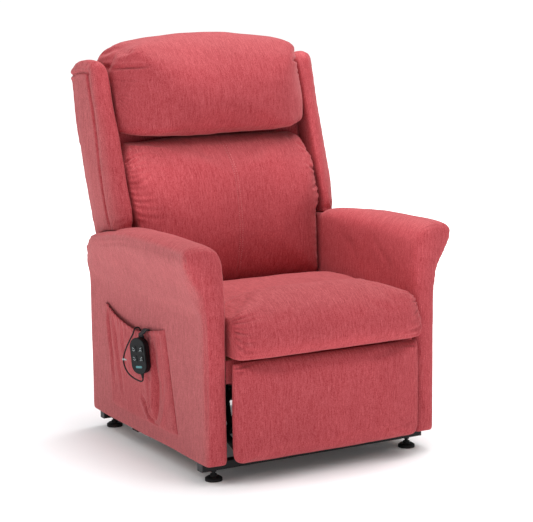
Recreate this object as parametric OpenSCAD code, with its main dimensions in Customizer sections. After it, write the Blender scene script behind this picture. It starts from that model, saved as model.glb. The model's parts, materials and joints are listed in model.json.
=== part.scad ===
// Lift recliner chair: upholstered armchair on a powered lift base.
// Millimetres. +Z up, the chair faces -Y, X is across the chair.
// Origin: on the floor, under the middle of the chair's box.

/* [Seat and arms] */
// Half the gap between the two arms
arm_in = 282; // [282:1:284]
// Thickness of the straight lower part of an arm
arm_t = 64; // [62:1:66]
// Height of the arm's top at the front
arm_top = 622; // [618:1:630]
// Half width of the seat cushion
seat_hw = 275; // [268:1:276]
// Height of the front roll of the seat
seat_top = 484; // [476:1:488]

/* [Back] */
// Half width of the head pillow
pillow_hw = 295; // [286:1:296]
// Height of the top of the head pillow
pillow_top = 1104; // [1096:1:1110]
// Half width of the lumbar cushion above the arms
lumbar_hw = 291; // [284:1:295]

/* [Leg rest] */
// Half width of the leg-rest panel
leg_hw = 266; // [255:1:268]
// Thickness of the leg-rest padding
leg_pad_t = 35; // [30:1:35]

/* [Lift base] */
// Width of the square base tube
tube = 26; // [24:1:26]
// Wall thickness of the base tube
tube_wall = 2; // [1.5:0.5:3]
// Radius of a levelling foot
foot_r = 22.5; // [18:0.5:24]
// Radius of the main pivot pins
pin_r = 6; // [5:0.5:6]
// Running clearance of a pin in its bore, on the radius
fit = 0.05; // [0.02:0.01:0.1]

/* [Handset] */
// Height of the handset's case
hs_len = 96; // [90:1:98]
// Width of the handset's case
hs_w = 54; // [48:1:54]
// Thickness of the handset's case
hs_t = 20; // [18:1:20]
// Diameter of the handset's cord
cord_d = 4; // [3.6:0.1:4]
// Travel of a handset button
travel = 1; // [0.8:0.1:1]

/* [Hidden] */
$fn = 40;

// Pivot points, as [y, z]
P1 = [-194, 94];    // lift arm on the base
P2 = [318, 162];    // lift arm on the side plate
Q1 = [-260, 70];    // front link on the base
Q2 = [79, 106];     // front link on the side plate (open pivot)
A1 = [285, 70];     // lift motor on the base
A2 = [-176, 150];   // lift rod on the lift lever (open pivot)
PB = [160, 330];    // back hinge
B1 = [-95, 236];    // recline motor on the seat
B2 = [193, 262];    // recline rod on the back's lever (open pivot)
F1 = [-150, 280];   // upper leg link on the hanger
F2 = [-221, 290];   // guide link on the hanger
J0 = [-188, 96];    // elbow of the leg links
K0 = [-315, 235];   // lower leg link on the panel's rib
M0 = [-220, 131];   // guide link on the lower leg link (open pivot)
N0 = [-159, 142];   // levelling link on the upper leg link
T0 = [-300, 277];   // levelling link on the panel's rib (open pivot)

arm_out = arm_in + arm_t;
tilt_y = 0.208;                       // rake of the back, y per z
function yr(z) = 291 + (z - 530) * tilt_y;   // rear plane of the back

red = [0.70, 0.22, 0.25]; black = [0.06, 0.06, 0.065]; wood = [0.78, 0.62, 0.42];
steel = [0.62, 0.63, 0.65]; dark = [0.12, 0.12, 0.13];

// ---- helpers ----
module yz(p, x0, x1) { translate([x0, 0, 0]) rotate([90, 0, 90]) linear_extrude(x1 - x0) polygon(p); }
module xz(p, y0, y1) { translate([0, y1, 0]) rotate([90, 0, 0]) linear_extrude(y1 - y0) polygon(p); }
module box(a, b) { translate(a) cube(b - a); }
module both() { children(); mirror([1, 0, 0]) children(); }
module cx(x0, x1, p, r) { translate([x0, p[0], p[1]]) rotate([0, 90, 0]) cylinder(h = x1 - x0, r = r); }
module strip(x0, x1, a, b, r) {
    l = norm(b - a);
    translate([x0, a[0], a[1]]) rotate([atan2(b[1] - a[1], b[0] - a[0]), 0, 0]) translate([0, -3, -r]) cube([x1 - x0, l + 6, 2 * r]);
}
// flat link with round ends and a bore at each end, drawn in the YZ plane
module flat_link(x0, x1, a, b, r, ha, hb, ra = 0, rb = 0) {
    u = (b - a) / norm(b - a); v = [-u[1], u[0]];
    translate([x0, 0, 0]) rotate([90, 0, 90]) linear_extrude(x1 - x0) difference() {
        union() {
            polygon([a + r * v, a - r * v, b - r * v, b + r * v]);
            translate(a) circle(max(r, ra));
            translate(b) circle(max(r, rb));
        }
        if (ha > 0) translate(a) circle(ha);
        if (hb > 0) translate(b) circle(hb);
    }
}
module rrect(w, h, r) {
    square([w, h - 2 * r], center = true);
    square([w - 2 * r, h], center = true);
    for (i = [-1, 1], j = [-1, 1]) translate([i * (w / 2 - r), j * (h / 2 - r)]) circle(r, $fn = 32);
}

// ---- lift base ----
module base_side_rails() color(black) both() difference() {
    box([254, -272, 28], [254 + tube, 318, 28 + tube - 4]);
    box([254 + tube_wall, -273, 28 + tube_wall], [254 + tube - tube_wall, 319, 24 + tube - tube_wall]);
}
module base_cross_tubes() color(black) {
    difference() {
        box([-332, -298, 28], [332, -272, 50]);
        box([-333, -298 + tube_wall, 28 + tube_wall], [333, -272 - tube_wall, 50 - tube_wall]);
    }
    difference() {
        box([-326, 318, 28], [326, 342, 50]);
        box([-327, 318 + tube_wall, 28 + tube_wall], [327, 342 - tube_wall, 50 - tube_wall]);
    }
}
module tube_end_caps() color(dark) both() {
    box([332, -298, 28], [335, -272, 50]);
    box([322, -296 + tube_wall, 28.2 + tube_wall], [332, -274 - tube_wall, 49.8 - tube_wall]);
    box([326, 318, 28], [329, 342, 50]);
    box([316, 318.2 + tube_wall, 28.2 + tube_wall], [326, 341.8 - tube_wall, 49.8 - tube_wall]);
}
module levelling_feet() color(black)
    for (p = [[295, -285], [-295, -285], [291, 330], [-291, 330]]) translate([p[0], p[1], 0]) {
        cylinder(h = 7, r = foot_r);
        translate([0, 0, 7]) cylinder(h = 4, r1 = foot_r, r2 = foot_r - 6);
        translate([0, 0, 11]) cylinder(h = 6, r = 9);
        translate([0, 0, 17]) cylinder(h = 6, r = 5);
        translate([0, 0, 23]) cylinder(h = 5, r = 8.5, $fn = 6);
    }
module arm_rest_pads() color(dark) both() {
    box([280, 132, 30], [312, 168, 34]);
    box([286, 134, 34], [310, 166, 51.5]);
}
module base_pivot_lugs() color(black) both() {
  difference() {
    union() {
        yz([[-298, 50], [-272, 50], [-182, 88], [-190, 104], [-205, 104], [-298, 62]], 214, 220);
        cx(214, 220, P1, 13);
    }
    cx(213, 221, P1, pin_r);
  }
  difference() {
    union() {
        yz([[-272, 50], [-236, 50], [-250, 80], [-270, 80]], 259, 265);
        cx(259, 265, Q1, 12);
    }
    cx(258, 266, Q1, pin_r);
  }
}
module base_pivot_pins() color(steel) both() {
    cx(212, 214, P1, 9);
    cx(214, 233, P1, pin_r);
    cx(233, 235, P1, 9);
    cx(265, 268, Q1, 9);
    cx(247, 265, Q1, pin_r);
    cx(245, 247, Q1, 9);
}
module lift_motor_bracket() color(black) {
    for (x = [-26, 20]) difference() {
        union() {
            yz([[318, 30], [318, 50], [300, 78], [285, 82], [275, 72], [285, 58]], x, x + 6);
            cx(x, x + 6, A1, 12);
        }
        cx(x - 1, x + 7, A1, 5);
    }
    cx(-30, 30, A1, 5);
}
// ---- lift arms and links ----
module lift_arms() color(black) both()
    flat_link(226, 232, P1, P2, 13, pin_r + fit, pin_r + fit, 15, 15);
CT = [-164, 92];    // cross tube between the lift arms
module lift_cross_tube() color(black) {
    difference() { cx(-226, 226, CT, 9); cx(-227, 227, CT, 7); }
    for (x = [-17, 12]) difference() {
        union() {
            yz([[-176, 88], [-152, 90], [-162, 152], [-190, 150]], x, x + 5);
            cx(x, x + 5, A2, 12);
        }
        cx(x - 1, x + 6, A2, 5);
        cx(x - 1, x + 6, CT, 9);
    }
    cx(-19, 19, A2, 5);
}
module front_links() color(black) both()
    flat_link(248, 254, Q1, Q2, 12, pin_r + fit, pin_r + 1.6, 14, 15);
AL = norm(A2 - A1); AA = atan2(A2[1] - A1[1], A2[0] - A1[0]);
BL = norm(B2 - B1); BA = atan2(B2[1] - B1[1], B2[0] - B1[0]);
// electric actuator: eye, gearbox, upright motor and outer tube, along local +Y from the eye
module actuator(l, up, tail) {
    difference() {
        union() {
            box([-19, 24, -21], [19, 104, 21]);
            box([-13, -12, -11], [13, 26, 11]);
            if (up > 0) translate([0, 66, 20]) cylinder(h = up, r = 18);
            if (up < 0) translate([0, 66, -20 + up]) cylinder(h = -up, r = 18);
            translate([0, 104, 0]) rotate([-90, 0, 0]) cylinder(h = l - 104 - tail, r = 15);
        }
        rotate([0, 90, 0]) translate([0, 0, -20]) cylinder(h = 40, r = 5 + fit);
        translate([0, 110, 0]) rotate([-90, 0, 0]) cylinder(h = l, r = 10.5);
    }
}
// piston rod with a slotted eye at the far end
module rod(l, s0, slot) {
    difference() {
        union() {
            translate([0, s0, 0]) rotate([-90, 0, 0]) cylinder(h = l - s0 - 8, r = 10);
            box([-9, l - 18, -15], [9, l + 15, 15]);
        }
        rotate([0, 90, 0]) for (z = [-slot, slot]) translate([z, l, -12]) cylinder(h = 24, r = 6.8);
        box([-12, l - 6.8, -slot], [12, l + 6.8, slot]);
    }
}
module lift_motor() color(dark) translate([0, A1[0], A1[1]]) rotate([AA, 0, 0]) actuator(AL, -40, 62);
module lift_rod() color(steel) translate([0, A1[0], A1[1]]) rotate([AA, 0, 0]) rod(AL, 250, 4.5);
module recline_motor() color(dark) translate([0, B1[0], B1[1]]) rotate([BA, 0, 0]) actuator(BL, -38, 78);
module recline_rod() color(steel) translate([0, B1[0], B1[1]]) rotate([BA, 0, 0]) rod(BL, 165, 3.2);

// ---- seat chassis ----
module side_plates() color(black) both() difference() {
    union() {
        yz([[60, 262], [60, 300], [128, 314], [146, 322], [150, 336], [176, 330], [205, 262], [338, 172], [338, 152], [310, 148], [190, 190], [98, 98], [64, 98]], 237, 243);
        yz([[-300, 262], [-300, 290], [60, 290], [60, 262]], 237, 243);
        cx(237, 243, PB, 14);
        cx(237, 243, P2, 17);
        cx(237, 243, Q2, 15);
    }
    cx(236, 244, PB, pin_r);
    cx(236, 244, P2, pin_r);
    cx(236, 244, Q2, pin_r);
    for (y = [-240, 60]) cx(236, 244, [y, 296], 9);
}
module seat_pivot_pins() color(steel) both() {
    cx(225, 243, P2, pin_r);
    cx(223, 225, P2, 9);
    cx(237, 256, Q2, pin_r);
    cx(256, 258, Q2, 9);
    cx(237, 251, PB, pin_r);
    cx(251, 253, PB, 9);
    for (p = [F1, F2]) { cx(184, 196.5, p, 5); cx(196.5, 198, p, 7); cx(182, 184, p, 7); }
}
module seat_side_rails() color(wood) both() difference() {
    box([243, -330, 262], [268, 125, 320]);
    for (y = [-240, 60]) cx(242, 269, [y, 296], 4.3);
}
module seat_cross_rails() color(wood) {
    box([-243, -330, 302], [243, -310, 320]);
    box([-237, -131, 290], [237, -108, 320]);
    box([-237, 100, 290], [237, 125, 320]);
}
module seat_webbing() color(dark)
    for (i = [-3:3]) box([i * 66 - 25, -330, 320], [i * 66 + 25, 125, 322]);
module leg_rest_hangers() color(black) both() difference() {
    union() {
        yz([[-131, 264], [-131, 302], [-221, 304], [-236, 290], [-221, 276], [-150, 266]], 184, 189);
        cx(184, 189, F2, 13);
        intersection() { cx(184, 189, F1, 14); box([184, -200, 250], [189, -131, 310]); }
    }
    cx(183, 190, F1, 5);
    cx(183, 190, F2, 5);
}
seat_yz = [[-345, 323.5], [-366, 326], [-382, 331], [-394, 338], [-403, 348], [-409, 361], [-411, 376], [-410, 396], [-404, 424], [-392, 449],
    [-372, 468], [-346, seat_top - 4], [-320, seat_top], [-294, seat_top - 1], [-266, seat_top - 9], [-240, 463], [-212, 455], [-150, 456],
    [-60, 457], [20, 452], [70, 441], [104, 427], [130, 412], [140, 400], [140, 345], [128, 323.5]];
module seat_cushion() color(red) intersection() {
    yz(seat_yz, -seat_hw, seat_hw);
    xz([[-seat_hw, 320], [-seat_hw, 428], [-seat_hw + 6, 446], [-seat_hw + 22, 460], [-200, 472], [-100, 482], [0, 490],
        [100, 482], [200, 472], [seat_hw - 22, 460], [seat_hw - 6, 446], [seat_hw, 428], [seat_hw, 320]], -420, 150);
}
arm_xz = [[arm_out, 52], [arm_out, 400], [arm_out + 2, 435], [arm_out + 7, 459], [arm_out + 11, 480], [arm_out + 17, 502],
    [arm_out + 30, 528], [arm_out + 44, 560], [arm_out + 52, 580], [arm_out + 53, 590], [arm_out + 50, 599], [arm_out + 43, 607],
    [arm_out + 21, arm_top - 4], [arm_out - 1, arm_top], [322, arm_top - 8], [305, 604], [arm_in + 11, 590], [arm_in + 5, 574],
    [arm_in + 1, 545], [arm_in, 500], [arm_in, 52]];
arm_yz = concat([[365, 52], [-351, 52], [-351, 592], [-348, 602], [-341, 610], [-328, 616], [-284, arm_top], [-190, arm_top],
    [-82, arm_top - 4], [31, 608], [100, 598], [160, 586]], [for (a = [84:-6:40]) [160 + 256 * cos(a), 330 + 256 * sin(a)]], [[365, 483]]);
cav_yz = [[-333, 51], [-333, 570], [55, 570], [160, 535], [300, 470], [347, 415], [347, 51]];
module arm_cover() difference() {
    intersection() {
        xz(arm_xz, -351, 365);
        yz(arm_yz, arm_in - 5, 402);
    }
    yz(cav_yz, arm_in + 14, arm_out - 14);
    for (y = [-240, 60]) cx(arm_in - 1, arm_in + 15, [y, 296], 4.3);
}
// left and right are the sitter's, so left is +X
module arm_cover_left() color(red) arm_cover();
module arm_cover_right() color(red) mirror([1, 0, 0]) arm_cover();
module arm_frames() color(wood) both() difference() {
    union() {
        box([arm_in + 14.5, -332, 56], [arm_out - 14.5, -296, 566]);
        box([arm_in + 14.5, 310, 56], [arm_out - 14.5, 346, 410]);
        box([arm_in + 14.5, -300, 276], [arm_in + 32, 314, 316]);
        box([arm_in + 14.5, -300, 56], [arm_in + 32, 314, 92]);
        yz([[-300, 528], [-300, 566], [52, 566], [158, 531], [297, 467], [328, 430], [328, 400], [304, 400], [304, 414], [150, 495], [50, 528]], arm_in + 14.5, arm_in + 32);
    }
    for (y = [-240, 60]) cx(arm_in + 14, arm_in + 34, [y, 296], 4.3);
}
module arm_bolts() color(steel) both() for (y = [-240, 60]) {
    cx(241 - 8.5, 241 - 4, [y, 296], 7);
    cx(236.5, arm_in + 36, [y, 296], 4);
    difference() { cx(268, arm_in, [y, 296], 11); cx(267, arm_in + 1, [y, 296], 4.3); }
    translate([arm_in + 32, 0, 0]) cx(0, 6, [y, 296], 6.5);
}
pocket = [[222, 106], [248, 376], [150, 358], [40, 342], [-47, 352], [-116, 366], [-176, 92]];
module side_pocket() color(red) difference() {
    yz(pocket, -arm_out - 10, -arm_out);
    yz([[216, 112], [240, 380], [-111, 380], [-168, 98]], -arm_out - 7.5, -arm_out + 1);
}
module rear_panel() color(red) box([-281, 350, 60], [281, 362, 365]);

// ---- handset ----
module at_handset() translate([-378, -40, 288]) rotate([0, 0, 22]) rotate([-6.5, 0, 0]) rotate([0, -90, 0]) rotate([0, 0, -90]) children();
// local axes: x across (width), y along the length, z out of the face
module hs_prism(w, h, r, z0, z1) { translate([0, 0, z0]) linear_extrude(z1 - z0) rrect(w, h, r); }
btn = [[11.5, 18], [-11.5, 18], [11.5, -7], [-11.5, -7]];
module handset_front() color(black) at_handset() difference() {
    union() {
        hs_prism(hs_w, hs_len, 24, 0, hs_t / 2 - 2);
        hs_prism(hs_w - 3, hs_len - 3, 22.5, hs_t / 2 - 2, hs_t / 2);
    }
    hs_prism(hs_w - 5, hs_len - 5, 21.5, -1, hs_t / 2 - 2.2);
    for (b = btn) translate([b[0], b[1], 0]) linear_extrude(hs_t) rrect(15.6, 17.6, 4.2);
    translate([0, -29, hs_t / 2 - 0.6]) linear_extrude(2) rrect(22.2, 6.2, 3);
}
module handset_back() color(black) at_handset() difference() {
    union() {
        hs_prism(hs_w, hs_len, 24, -hs_t / 2 + 3, 0);
        hs_prism(hs_w - 5, hs_len - 5, 21.5, -hs_t / 2, -hs_t / 2 + 3);
    }
    hs_prism(hs_w - 5, hs_len - 5, 21.5, -hs_t / 2 + 2.4, 1);
}
module handset_board() color("green") at_handset() hs_prism(hs_w - 6, hs_len - 8, 20, -1, 0.6);
module handset_strip() color([0.1, 0.55, 0.55]) at_handset() translate([0, -29, hs_t / 2 - 0.6]) linear_extrude(0.9) rrect(22, 6, 2.9);
module button(i) color(dark) at_handset() translate([btn[i][0], btn[i][1], 0]) {
    translate([0, 0, 4.5]) linear_extrude(hs_t / 2 - 4.5 + 1.4) rrect(15, 17, 4);
    translate([0, 0, 2.2]) cylinder(h = 2.3, r = 3);
}
module handset_strain_relief() color(black) at_handset() translate([0, -hs_len / 2, 0]) rotate([90, 0, 0]) difference() {
    union() { cylinder(h = 3, r = 5); cylinder(h = 12, r1 = 4.6, r2 = 2.8); }
    translate([0, 0, 11]) cylinder(h = 2, r = 2.15);
}
module handset_strap() color(black) {
    at_handset() box([-10, 8, -12], [10, 51, -10]);
    xz([[-373, 337.5], [-373, 342], [-358, 354.6], [-350.4, 354.6], [-350.4, 300], [-351.8, 300], [-351.8, 353.2], [-357.6, 353.2],
        [-369, 342.5], [-367, 337.5]], -42, -20);
}
// route of the handset's cord, from the strain relief to the gland in the pocket
cord_p = [[-375.5, -46.2, 229.4], [-375.3, -46.7, 225.5], [-375.7, -44.7, 221], [-376.6, -39.5, 218.3], [-377.6, -32, 217.5], [-378.8, -22, 217.7], [-379.6, -10, 218.3], [-380, 3, 219.3],
    [-380, 16, 221], [-380, 29, 223.8], [-380, 41, 228.3], [-380, 51.5, 235], [-380, 59, 243.5], [-379.6, 63, 254], [-378.5, 64, 265], [-376.8, 61.5, 276], [-374.8, 56.5, 288], [-372.5, 50, 300],
    [-370.3, 42, 312], [-368.2, 34, 323.5], [-366.6, 27, 333.5], [-366, 22.5, 342], [-363.9, 20.5, 347.8], [-358, 19, 350.5], [-352.2, 18.3, 348], [-349.8, 18, 342], [-349.8, 18.5, 328], [-349.8, 19.5, 315], [-349.8, 21, 301], [-349.8, 22.5, 287], [-349.8, 24, 274], [-349.8, 24, 262]];
function unit(v) = v / norm(v);
function tan_at(i) = i == 0 ? unit(cord_p[1] - cord_p[0]) : i == len(cord_p) - 1 ? unit(cord_p[i] - cord_p[i - 1]) : unit(cord_p[i + 1] - cord_p[i - 1]);
function side(t) = unit(cross(t, [1, 0.13, 0.07]));
module sweep(p, r, n) {
    pts = [for (i = [0:len(p) - 1]) let (t = tan_at(i), a = side(t), b = cross(t, a)) for (k = [0:n - 1])
        p[i] + r * cos(k * 360 / n) * a + r * sin(k * 360 / n) * b];
    f = concat([[for (k = [0:n - 1]) k]], [[for (k = [n - 1:-1:0]) (len(p) - 1) * n + k]],
        [for (i = [0:len(p) - 2]) for (k = [0:n - 1]) [i * n + k, (i + 1) * n + k, (i + 1) * n + (k + 1) % n]],
        [for (i = [0:len(p) - 2]) for (k = [0:n - 1]) [i * n + k, (i + 1) * n + (k + 1) % n, i * n + (k + 1) % n]]);
    polyhedron(points = pts, faces = f);
}
module handset_cord() color(black) sweep(cord_p, cord_d / 2, 8);
module cord_gland() color(dark) box([-352.6, 17, 246], [-346, 31, 262]);
module cable_clip() color([0.7, 0.75, 0.75]) translate([-379.45, 63.14, 255.5]) rotate([-5, 5.7, 0]) {
    difference() { cylinder(h = 5, r = 4.2); translate([0, 0, -1]) cylinder(h = 7, r = 2.35); }
    translate([-1.5, -15, 0.5]) cube([3, 11.4, 4]);
}

// ---- electrics under the seat ----
module control_box() color(dark) difference() {
    union() {
        box([60, -95, 240], [165, 90, 276]);
        for (y = [-125, 104]) box([100, y, 276], [130, y + 16, 290]);
        box([100, -125, 276], [130, 120, 280]);
    }
    box([63, -92, 243], [162, 87, 273]);
    box([90, -96, 248], [116, -91, 268]);
}
module mains_inlet() color(black) difference() {
    box([90.2, -98, 248.2], [115.8, -84, 267.8]);
    box([94, -99, 252], [112, -88, 264]);
}
module recline_motor_bracket() color(black) {
    for (x = [-26, 20]) difference() {
        union() {
            yz([[-108, 290], [-108, 318], [-102, 318], [-80, 240], [-88, 224], [-104, 226], [-110, 240], [-108, 262]], x, x + 6);
            cx(x, x + 6, B1, 13);
        }
        cx(x - 1, x + 7, B1, 5);
    }
    box([-26, -108, 292], [26, -104, 318]);
    cx(-30, 30, B1, 5);
}

// ---- back ----
module back_bar(z0, z1, x0, x1, d0, d1) yz([[yr(z0) - d0, z0], [yr(z0) - d1, z0], [yr(z1) - d1, z1], [yr(z1) - d0, z1]], x0, x1);
module back_frame() color(wood) {
    both() back_bar(352, 998, 250, 275, 60, 22);
    back_bar(960, 998, -249.9, 249.9, 60, 22);
    back_bar(660, 700, -249.9, 249.9, 60, 38);
    back_bar(352, 392, -244, 244, 60, 22);
}
module back_webbing() color(dark) for (z = [430, 520, 610, 745, 830, 910]) back_bar(z, z + 50, -270, 270, 62.5, 60.5);
module back_hinge_plates() color(steel) both() difference() {
    union() {
        yz([[149, 340], [163, 318], [232, 356], [240, 388], [250, 438], [216, 438], [208, 405], [197, 372]], 244.5, 249.5);
        cx(244.5, 249.5, PB, 13);
    }
    cx(243, 251, PB, pin_r + fit);
}
module recline_lever() color(steel) {
    for (x = [-17, 12]) difference() {
        union() {
            yz([[196, 352], [231, 352], [205, 258], [193, 250], [181, 256], [182, 275]], x, x + 5);
            cx(x, x + 5, B2, 12);
        }
        cx(x - 1, x + 6, B2, 5);
    }
    cx(-19, 19, B2, 5);
}
module back_rear_cover() color(red) {
    intersection() {
        yz([[yr(430) - 18, 430], [yr(430) + 6, 430], [yr(600) + 8, 600], [yr(950) + 8, 950], [yr(1000) + 2, 1000], [yr(1000) - 18, 1000]], -298, 298);
        xz([[-278, 425], [-278, 592], [-297, 592], [-297, 1005], [297, 1005], [297, 592], [278, 592], [278, 425]], 200, 420);
    }
}
wing_yz = concat([[148, 618], [152, 603], [160, 591.5]], [for (a = [84:-6:60]) [160 + 261 * cos(a), 330 + 261 * sin(a)]],
    [[yr(560), 560], [yr(975), 975], [388, 1000], [380, 1018], [362, 1034], [335, 1041], [310, 1039], [292, 1026], [280, 1002], [250, 915], [205, 790], [172, 705], [152, 645]]);
// plan of a wing, square to its rake: a rounded nose that sweeps out to the side panel
wing_plan = [[296, -70], [312, -62], [322, -34], [332, -12], [343, 10], [350, 26], [384, 142], [384, 300], [296, 300]];
module wing() intersection() {
    yz(wing_yz, 298, 378);
    xz([[299, 540], [350, 540], [354, 600], [364, 780], [376, 960], [376, 1003], [370, 1020], [355, 1034], [332, 1041], [310, 1035], [299, 1018]], 100, 420);
    rotate([-16.2, 0, 0]) translate([0, 0, 450]) linear_extrude(700) polygon(wing_plan);
}
// plan of a crowned cushion: full in the middle, swept back by d at its ends
function crown(hw, y0, d, p) = concat([for (i = [-10:10]) let (x = i * hw / 10) [x, y0 + d * pow(abs(x) / hw, p)]], [[hw, 430], [-hw, 430]]);
module wing_left() color(red) wing();
module wing_right() color(red) mirror([1, 0, 0]) wing();
pillow_yz = [[172, 828], [150, 836], [137, 858], [130, 892], [131, 930], [139, 968], [156, 1008], [182, 1046], [216, 1076], [254, 1096],
    [296, pillow_top], [340, pillow_top - 1], [372, 1092], [396, 1072], [408, 1045], [411, 1022], [408, 1003], [320, 1003], [yr(985) - 66, 985], [yr(828) - 66, 828]];
module head_pillow() color(red) intersection() {
    yz(pillow_yz, -pillow_hw, pillow_hw);
    xz([[-pillow_hw + 6, 820], [-pillow_hw, 850], [-pillow_hw, 1010], [-pillow_hw + 4, 1045], [-pillow_hw + 20, 1070], [-pillow_hw + 60, 1086], [-130, 1097], [0, 1110],
        [130, 1097], [pillow_hw - 60, 1086], [pillow_hw - 20, 1070], [pillow_hw - 4, 1045], [pillow_hw, 1010], [pillow_hw, 850], [pillow_hw - 6, 820]], 100, 420);
    translate([0, 0, 810]) linear_extrude(310) polygon(crown(pillow_hw, 129, 140, 4));
}
lumbar_yz = [[152, 408], [128, 428], [108, 460], [96, 505], [92, 555], [96, 610], [107, 670], [122, 722], [140, 770], [156, 802], [174, 822],
    [yr(822) - 66, 822], [yr(407) - 66, 407]];
module lumbar_cushion() color(red) intersection() {
    yz(lumbar_yz, -lumbar_hw, lumbar_hw);
    xz([[-277, 400], [-277, 598], [-lumbar_hw, 625], [-lumbar_hw, 740], [-lumbar_hw + 8, 790], [-lumbar_hw + 26, 826], [lumbar_hw - 26, 826], [lumbar_hw - 8, 790],
        [lumbar_hw, 740], [lumbar_hw, 625], [277, 598], [277, 400]], 60, 320);
    translate([0, 0, 400]) linear_extrude(430) polygon(crown(lumbar_hw, 91, 50, 4));
}

// ---- leg rest ----
module leg_rest_pad() color(red) intersection() {
    yz([[-353, 316], [-369, 315], [-380, 310], [-386, 300], [-388, 286], [-388, 85], [-386, 68], [-378, 57], [-365, 54], [-353, 54]], -leg_hw, leg_hw);
    xz([[-leg_hw + 22, 54], [-leg_hw + 6, 62], [-leg_hw, 80], [-leg_hw, 318], [leg_hw, 318], [leg_hw, 80], [leg_hw - 6, 62], [leg_hw - 22, 54]], -390, -350);
}
module leg_rest_board() color(wood) box([-leg_hw + 10, -353, 64], [leg_hw - 10, -341, 308]);
module leg_rest_ribs() color(black) both() {
    difference() {
        union() {
            yz([[-341, 205], [-341, 300], [-300, 290], [-290, 277], [-304, 232], [-318, 222]], 212, 217);
            cx(212, 217, K0, 12);
            cx(212, 217, T0, 12);
        }
    }
    box([217, -341, 205], [228, -337, 300]);
    cx(198, 212, K0, 5);
    cx(196.5, 198, K0, 7);
    cx(203.5, 212, T0, 4);
}
module leg_links_upper() color(black) both() {
    difference() {
        union() {
            strip(191, 196, F1, J0, 10);
            cx(191, 196, F1, 12);
            cx(191, 196, J0, 12);
            cx(191, 196, N0, 10);
            yz([[-160, 200], [-150, 148], [-152, 134], [-178, 108], [-192, 130], [-175, 200]], 191, 196);
        }
        cx(190, 197, F1, 5 + fit);
        cx(190, 197, J0, 5 + fit);
    }
    cx(196, 210.5, N0, 4.5);
    cx(210.5, 211.5, N0, 6.5);
}
module leg_links_lower() color(black) both() {
    flat_link(198, 203, J0, K0, 10, 0, 5 + fit, 12, 12);
    cx(189.5, 198, J0, 5);
    cx(188, 189.5, J0, 7);
    cx(190, 198, M0, 4);
}
module leg_links_guide() color(black) both()
    flat_link(191, 196, F2, M0, 9, 5 + fit, 9.6, 12, 13);
module leg_links_level() color(black) both()
    flat_link(205, 210, N0, T0, 9, 4.5 + fit, 8.2, 11, 12);

base_side_rails();
base_cross_tubes();
tube_end_caps();
levelling_feet();
arm_rest_pads();
base_pivot_lugs();
base_pivot_pins();
lift_motor_bracket();
lift_arms();
lift_cross_tube();
front_links();
lift_motor();
lift_rod();
side_plates();
seat_pivot_pins();
seat_side_rails();
seat_cross_rails();
seat_webbing();
leg_rest_hangers();
seat_cushion();
arm_cover_left();
arm_cover_right();
arm_frames();
arm_bolts();
side_pocket();
rear_panel();
handset_strap();
handset_front();
handset_back();
handset_board();
handset_strip();
button(0);  // button_back_up
button(1);  // button_back_down
button(2);  // button_legs_up
button(3);  // button_legs_down
handset_strain_relief();
handset_cord();
cord_gland();
cable_clip();
control_box();
mains_inlet();
recline_motor_bracket();
recline_motor();
recline_rod();
back_frame();
back_webbing();
back_hinge_plates();
recline_lever();
back_rear_cover();
wing_left();
wing_right();
head_pillow();
lumbar_cushion();
leg_rest_pad();
leg_rest_board();
leg_rest_ribs();
leg_links_upper();
leg_links_lower();
leg_links_guide();
leg_links_level();
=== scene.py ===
import json
import math
import bpy
import bmesh
import numpy as np
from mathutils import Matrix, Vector

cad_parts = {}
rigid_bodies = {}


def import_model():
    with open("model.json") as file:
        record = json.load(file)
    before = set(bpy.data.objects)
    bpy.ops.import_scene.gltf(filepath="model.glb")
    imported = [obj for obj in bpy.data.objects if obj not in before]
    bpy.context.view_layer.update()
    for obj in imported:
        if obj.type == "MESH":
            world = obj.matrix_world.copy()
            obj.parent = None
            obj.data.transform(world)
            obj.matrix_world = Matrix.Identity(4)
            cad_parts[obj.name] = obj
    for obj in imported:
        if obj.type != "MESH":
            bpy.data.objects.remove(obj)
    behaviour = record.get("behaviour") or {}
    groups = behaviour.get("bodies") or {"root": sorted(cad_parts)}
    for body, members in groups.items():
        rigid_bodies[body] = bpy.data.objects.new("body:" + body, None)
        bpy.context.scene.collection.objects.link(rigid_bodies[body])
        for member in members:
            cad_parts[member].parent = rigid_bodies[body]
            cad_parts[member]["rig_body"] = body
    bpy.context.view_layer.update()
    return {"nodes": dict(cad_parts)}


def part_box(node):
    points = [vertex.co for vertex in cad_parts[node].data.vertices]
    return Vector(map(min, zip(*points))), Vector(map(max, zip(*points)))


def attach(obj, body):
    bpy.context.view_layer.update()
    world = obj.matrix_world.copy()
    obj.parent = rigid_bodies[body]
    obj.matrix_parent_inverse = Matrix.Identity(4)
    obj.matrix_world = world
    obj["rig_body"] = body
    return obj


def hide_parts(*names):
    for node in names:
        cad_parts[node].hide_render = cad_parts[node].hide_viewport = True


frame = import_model()
scene = bpy.context.scene
NODES = frame["nodes"]


# ------------------------------------------------------------------ camera
def make_camera():
    az, el, roll = math.radians(-29.52), math.radians(9.855), math.radians(-0.603)
    back = Vector((math.sin(az) * math.cos(el), -math.cos(az) * math.cos(el), math.sin(el)))
    right = Vector((0, 0, 1)).cross(back).normalized()
    up = back.cross(right)
    r2 = right * math.cos(roll) + up * math.sin(roll)
    u2 = -right * math.sin(roll) + up * math.cos(roll)
    cam = bpy.data.objects.new("camera", bpy.data.cameras.new("camera"))
    scene.collection.objects.link(cam)
    m = cam.matrix_world.to_3x3()
    for i in range(3):
        m[i][0], m[i][1], m[i][2] = r2[i], u2[i], back[i]
    w = m.to_4x4()
    w.translation = Vector((0.026924, -0.041352, 0.505472)) + back * 4.74602
    cam.matrix_world = w
    cam.data.sensor_width = 36
    cam.data.lens = 1751.216 / 533 * 36
    cam.data.shift_x, cam.data.shift_y = -0.0144, -0.0031
    cam.data.clip_start, cam.data.clip_end = 0.1, 60
    scene.camera = cam


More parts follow.
